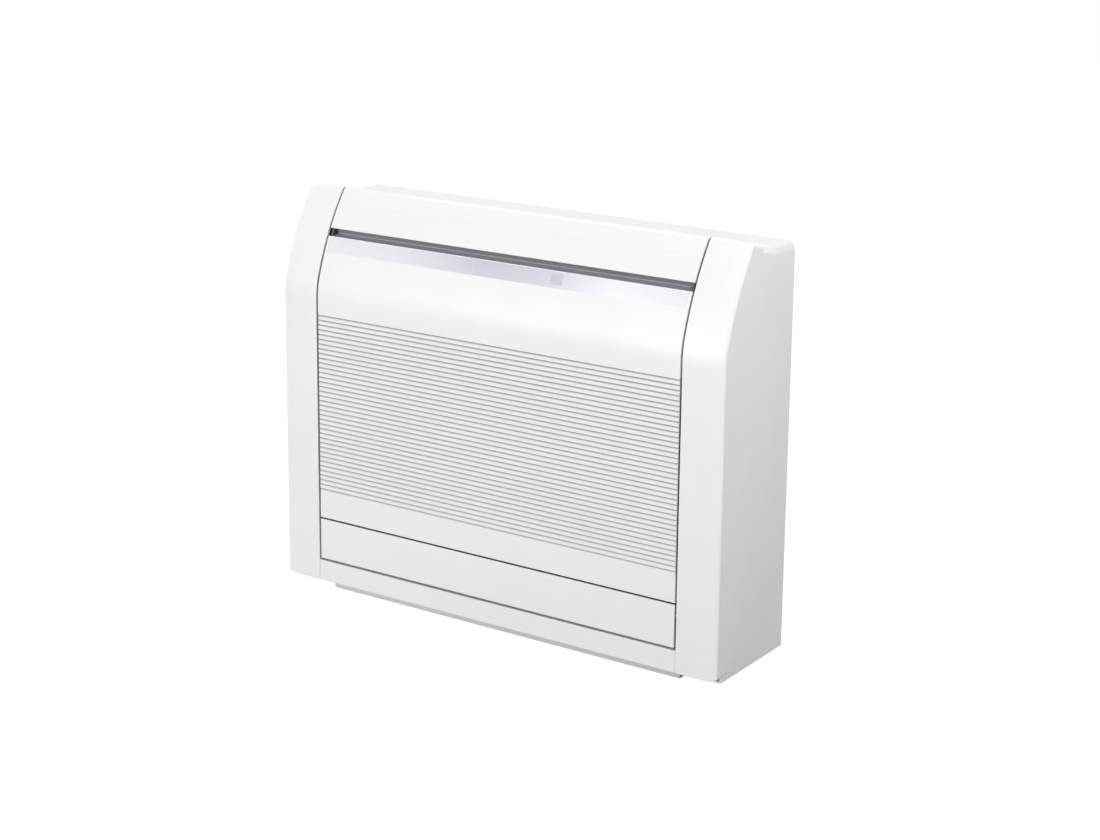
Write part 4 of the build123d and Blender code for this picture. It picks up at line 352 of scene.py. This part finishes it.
def display_film():
    """Silver film behind the lamps: pale ends and a duller middle as painted shading along the glossy
    film, and a fine metallic flake.
    """
    s = Shader("display_film")
    split = s.node("ShaderNodeSeparateXYZ")
    s.link(s.place, split.inputs[0])
    ramp = s.node("ShaderNodeValToRGB")
    s.link(s.ramp(split.outputs["X"], -FILM_HALF_WIDTH, FILM_HALF_WIDTH), ramp.inputs[0])
    elements = ramp.color_ramp.elements
    for end in (0, -1):
        elements[end].position = FILM_PAINTED_SHADING_STOPS[end][0]
        elements[end].color = (*FILM_PAINTED_SHADING_STOPS[end][1], 1)
    for place, colour in FILM_PAINTED_SHADING_STOPS[1:-1]:
        elements.new(place).color = (*colour, 1)
    flake = s.noise(FLAKE_SCALE, detail=1.0)
    tone = s.mix(s.ramp(flake, 0.45, 0.75, 0.0, FLAKE_SHARE), ramp.outputs[0], FLAKE_COLOUR)
    s.set(Base_Color=tone, Metallic=0.25, Roughness=s.ramp(flake, 0.3, 0.7, 0.24, 0.36))
    s.set(Coat_Weight=0.4, Coat_Roughness=0.12, Normal=s.bump(flake, FLAKE_HEIGHT, 0.5))
    return s.material


def dress_nodes(materials):
    """Every carried-over node gets the material of its slot; the grooved panel gets its own, with painted
    shade in its grooves.
    """
    slots = {piece["node"]: piece["material_slot"] for piece in frame["record"]["subparts"]}
    slots["grille_panel"] = "panel_white_groove_shade"
    for name, node in NODES.items():
        node.data.materials.clear()
        node.data.materials.append(materials[slots[name]])


# ---------------------------------------------------------------- floor, backdrop and light
def camera_and_gloss(tree):
    """1 for camera, glossy and transmission rays, else 0."""
    path = tree.nodes.new("ShaderNodeLightPath")
    either = tree.nodes.new("ShaderNodeMath")
    either.operation = "MAXIMUM"
    tree.links.new(path.outputs["Is Camera Ray"], either.inputs[0])
    tree.links.new(path.outputs["Is Glossy Ray"], either.inputs[1])
    last = tree.nodes.new("ShaderNodeMath")
    last.operation = "MAXIMUM"
    tree.links.new(either.outputs[0], last.inputs[0])
    tree.links.new(path.outputs["Is Transmission Ray"], last.inputs[1])
    return last.outputs[0]


FLOOR_SIZE = 14.0
FLOOR_COLOUR = 0.20
FLOOR_LIFT = 0.94
WORLD_LIGHT = 0.18
# name, place, aim, size (width, height), watts
LAMPS = (
    ("front_key", (-0.9, -2.6, 2.2), (-0.1, 0.0, 0.4), (2.4, 1.6), 11.0),
    ("front_low", (-0.9, -3.0, 0.8), (-0.1, 0.0, 0.35), (2.2, 1.2), 62.0),
    ("right_side", (1.3, -0.1, 0.9), (0.36, 0.0, 0.4), (0.5, 0.5), 4.8),
    ("right_front", (1.5, -1.3, 1.2), (0.36, 0.0, 0.35), (0.5, 0.5), 5.5),
    ("right_wide", (2.4, -1.4, 1.6), (0.36, 0.1, 0.35), (1.2, 1.2), 7.0),
    ("top_back", (-0.3, 0.5, 2.0), (-0.1, 0.0, 0.5), (1.6, 1.0), 17.5),
    ("back_wide", (0.3, 3.2, 0.45), (0.0, 0.0, 0.35), (2.4, 0.8), 25.0),
    ("left_wide", (-3.0, 0.4, 0.6), (-0.36, 0.0, 0.35), (1.2, 0.8), 16.0),
)


def make_floor():
    """Plain pale floor that keeps the object's shadow and reads as white to the camera."""
    mesh = bpy.data.meshes.new("floor")
    half = FLOOR_SIZE / 2
    corners = [(-half, -half, 0), (half, -half, 0), (half, half, 0), (-half, half, 0)]
    mesh.from_pydata(corners, [], [(0, 1, 2, 3)])
    floor = bpy.data.objects.new("floor", mesh)
    bpy.context.scene.collection.objects.link(floor)
    s = Shader("floor_white")
    s.set(Base_Color=(FLOOR_COLOUR,) * 3, Roughness=0.8, Specular_IOR_Level=0.1)
    glow = s.node("ShaderNodeEmission")
    s.link(s.math("MULTIPLY", camera_and_gloss(s.tree), FLOOR_LIFT), glow.inputs["Strength"])
    both = s.node("ShaderNodeAddShader")
    s.link(s.bsdf.outputs[0], both.inputs[0])
    s.link(glow.outputs[0], both.inputs[1])
    s.link(both.outputs[0], s.output.inputs[0])
    mesh.materials.append(s.material)


def make_world():
    """Even light from all round; white where the camera or a gloss looks past the object."""
    world = bpy.data.worlds.new("studio")
    bpy.context.scene.world = world
    world.use_nodes = True
    tree = world.node_tree
    tree.nodes.clear()
    back = tree.nodes.new("ShaderNodeBackground")
    out = tree.nodes.new("ShaderNodeOutputWorld")
    level = tree.nodes.new("ShaderNodeMapRange")
    level.inputs["To Min"].default_value = WORLD_LIGHT
    level.inputs["To Max"].default_value = 1.0
    tree.links.new(camera_and_gloss(tree), level.inputs["Value"])
    tree.links.new(level.outputs[0], back.inputs["Strength"])
    back.inputs["Color"].default_value = (1.0, 1.0, 1.0, 1.0)
    tree.links.new(back.outputs[0], out.inputs[0])


def softbox(name, place, aim, size, watts):
    """Rectangular area lamp at place, facing aim."""
    data = bpy.data.lights.new(name, "AREA")
    data.shape = "RECTANGLE"
    data.size, data.size_y = size
    data.energy = watts
    lamp = bpy.data.objects.new(name, data)
    lamp.location = place
    lamp.rotation_euler = (Vector(aim) - Vector(place)).to_track_quat("-Z", "Y").to_euler()
    lamp.visible_camera = False
    bpy.context.scene.collection.objects.link(lamp)


def make_lights():
    """Softboxes in front, on both sides, overhead and behind."""
    for name, place, aim, size, watts in LAMPS:
        softbox(name, place, aim, size, watts)


bpy.context.scene.view_settings.view_transform = "Standard"
make_camera()
make_world()
make_floor()
make_lights()
dress_nodes(make_materials())
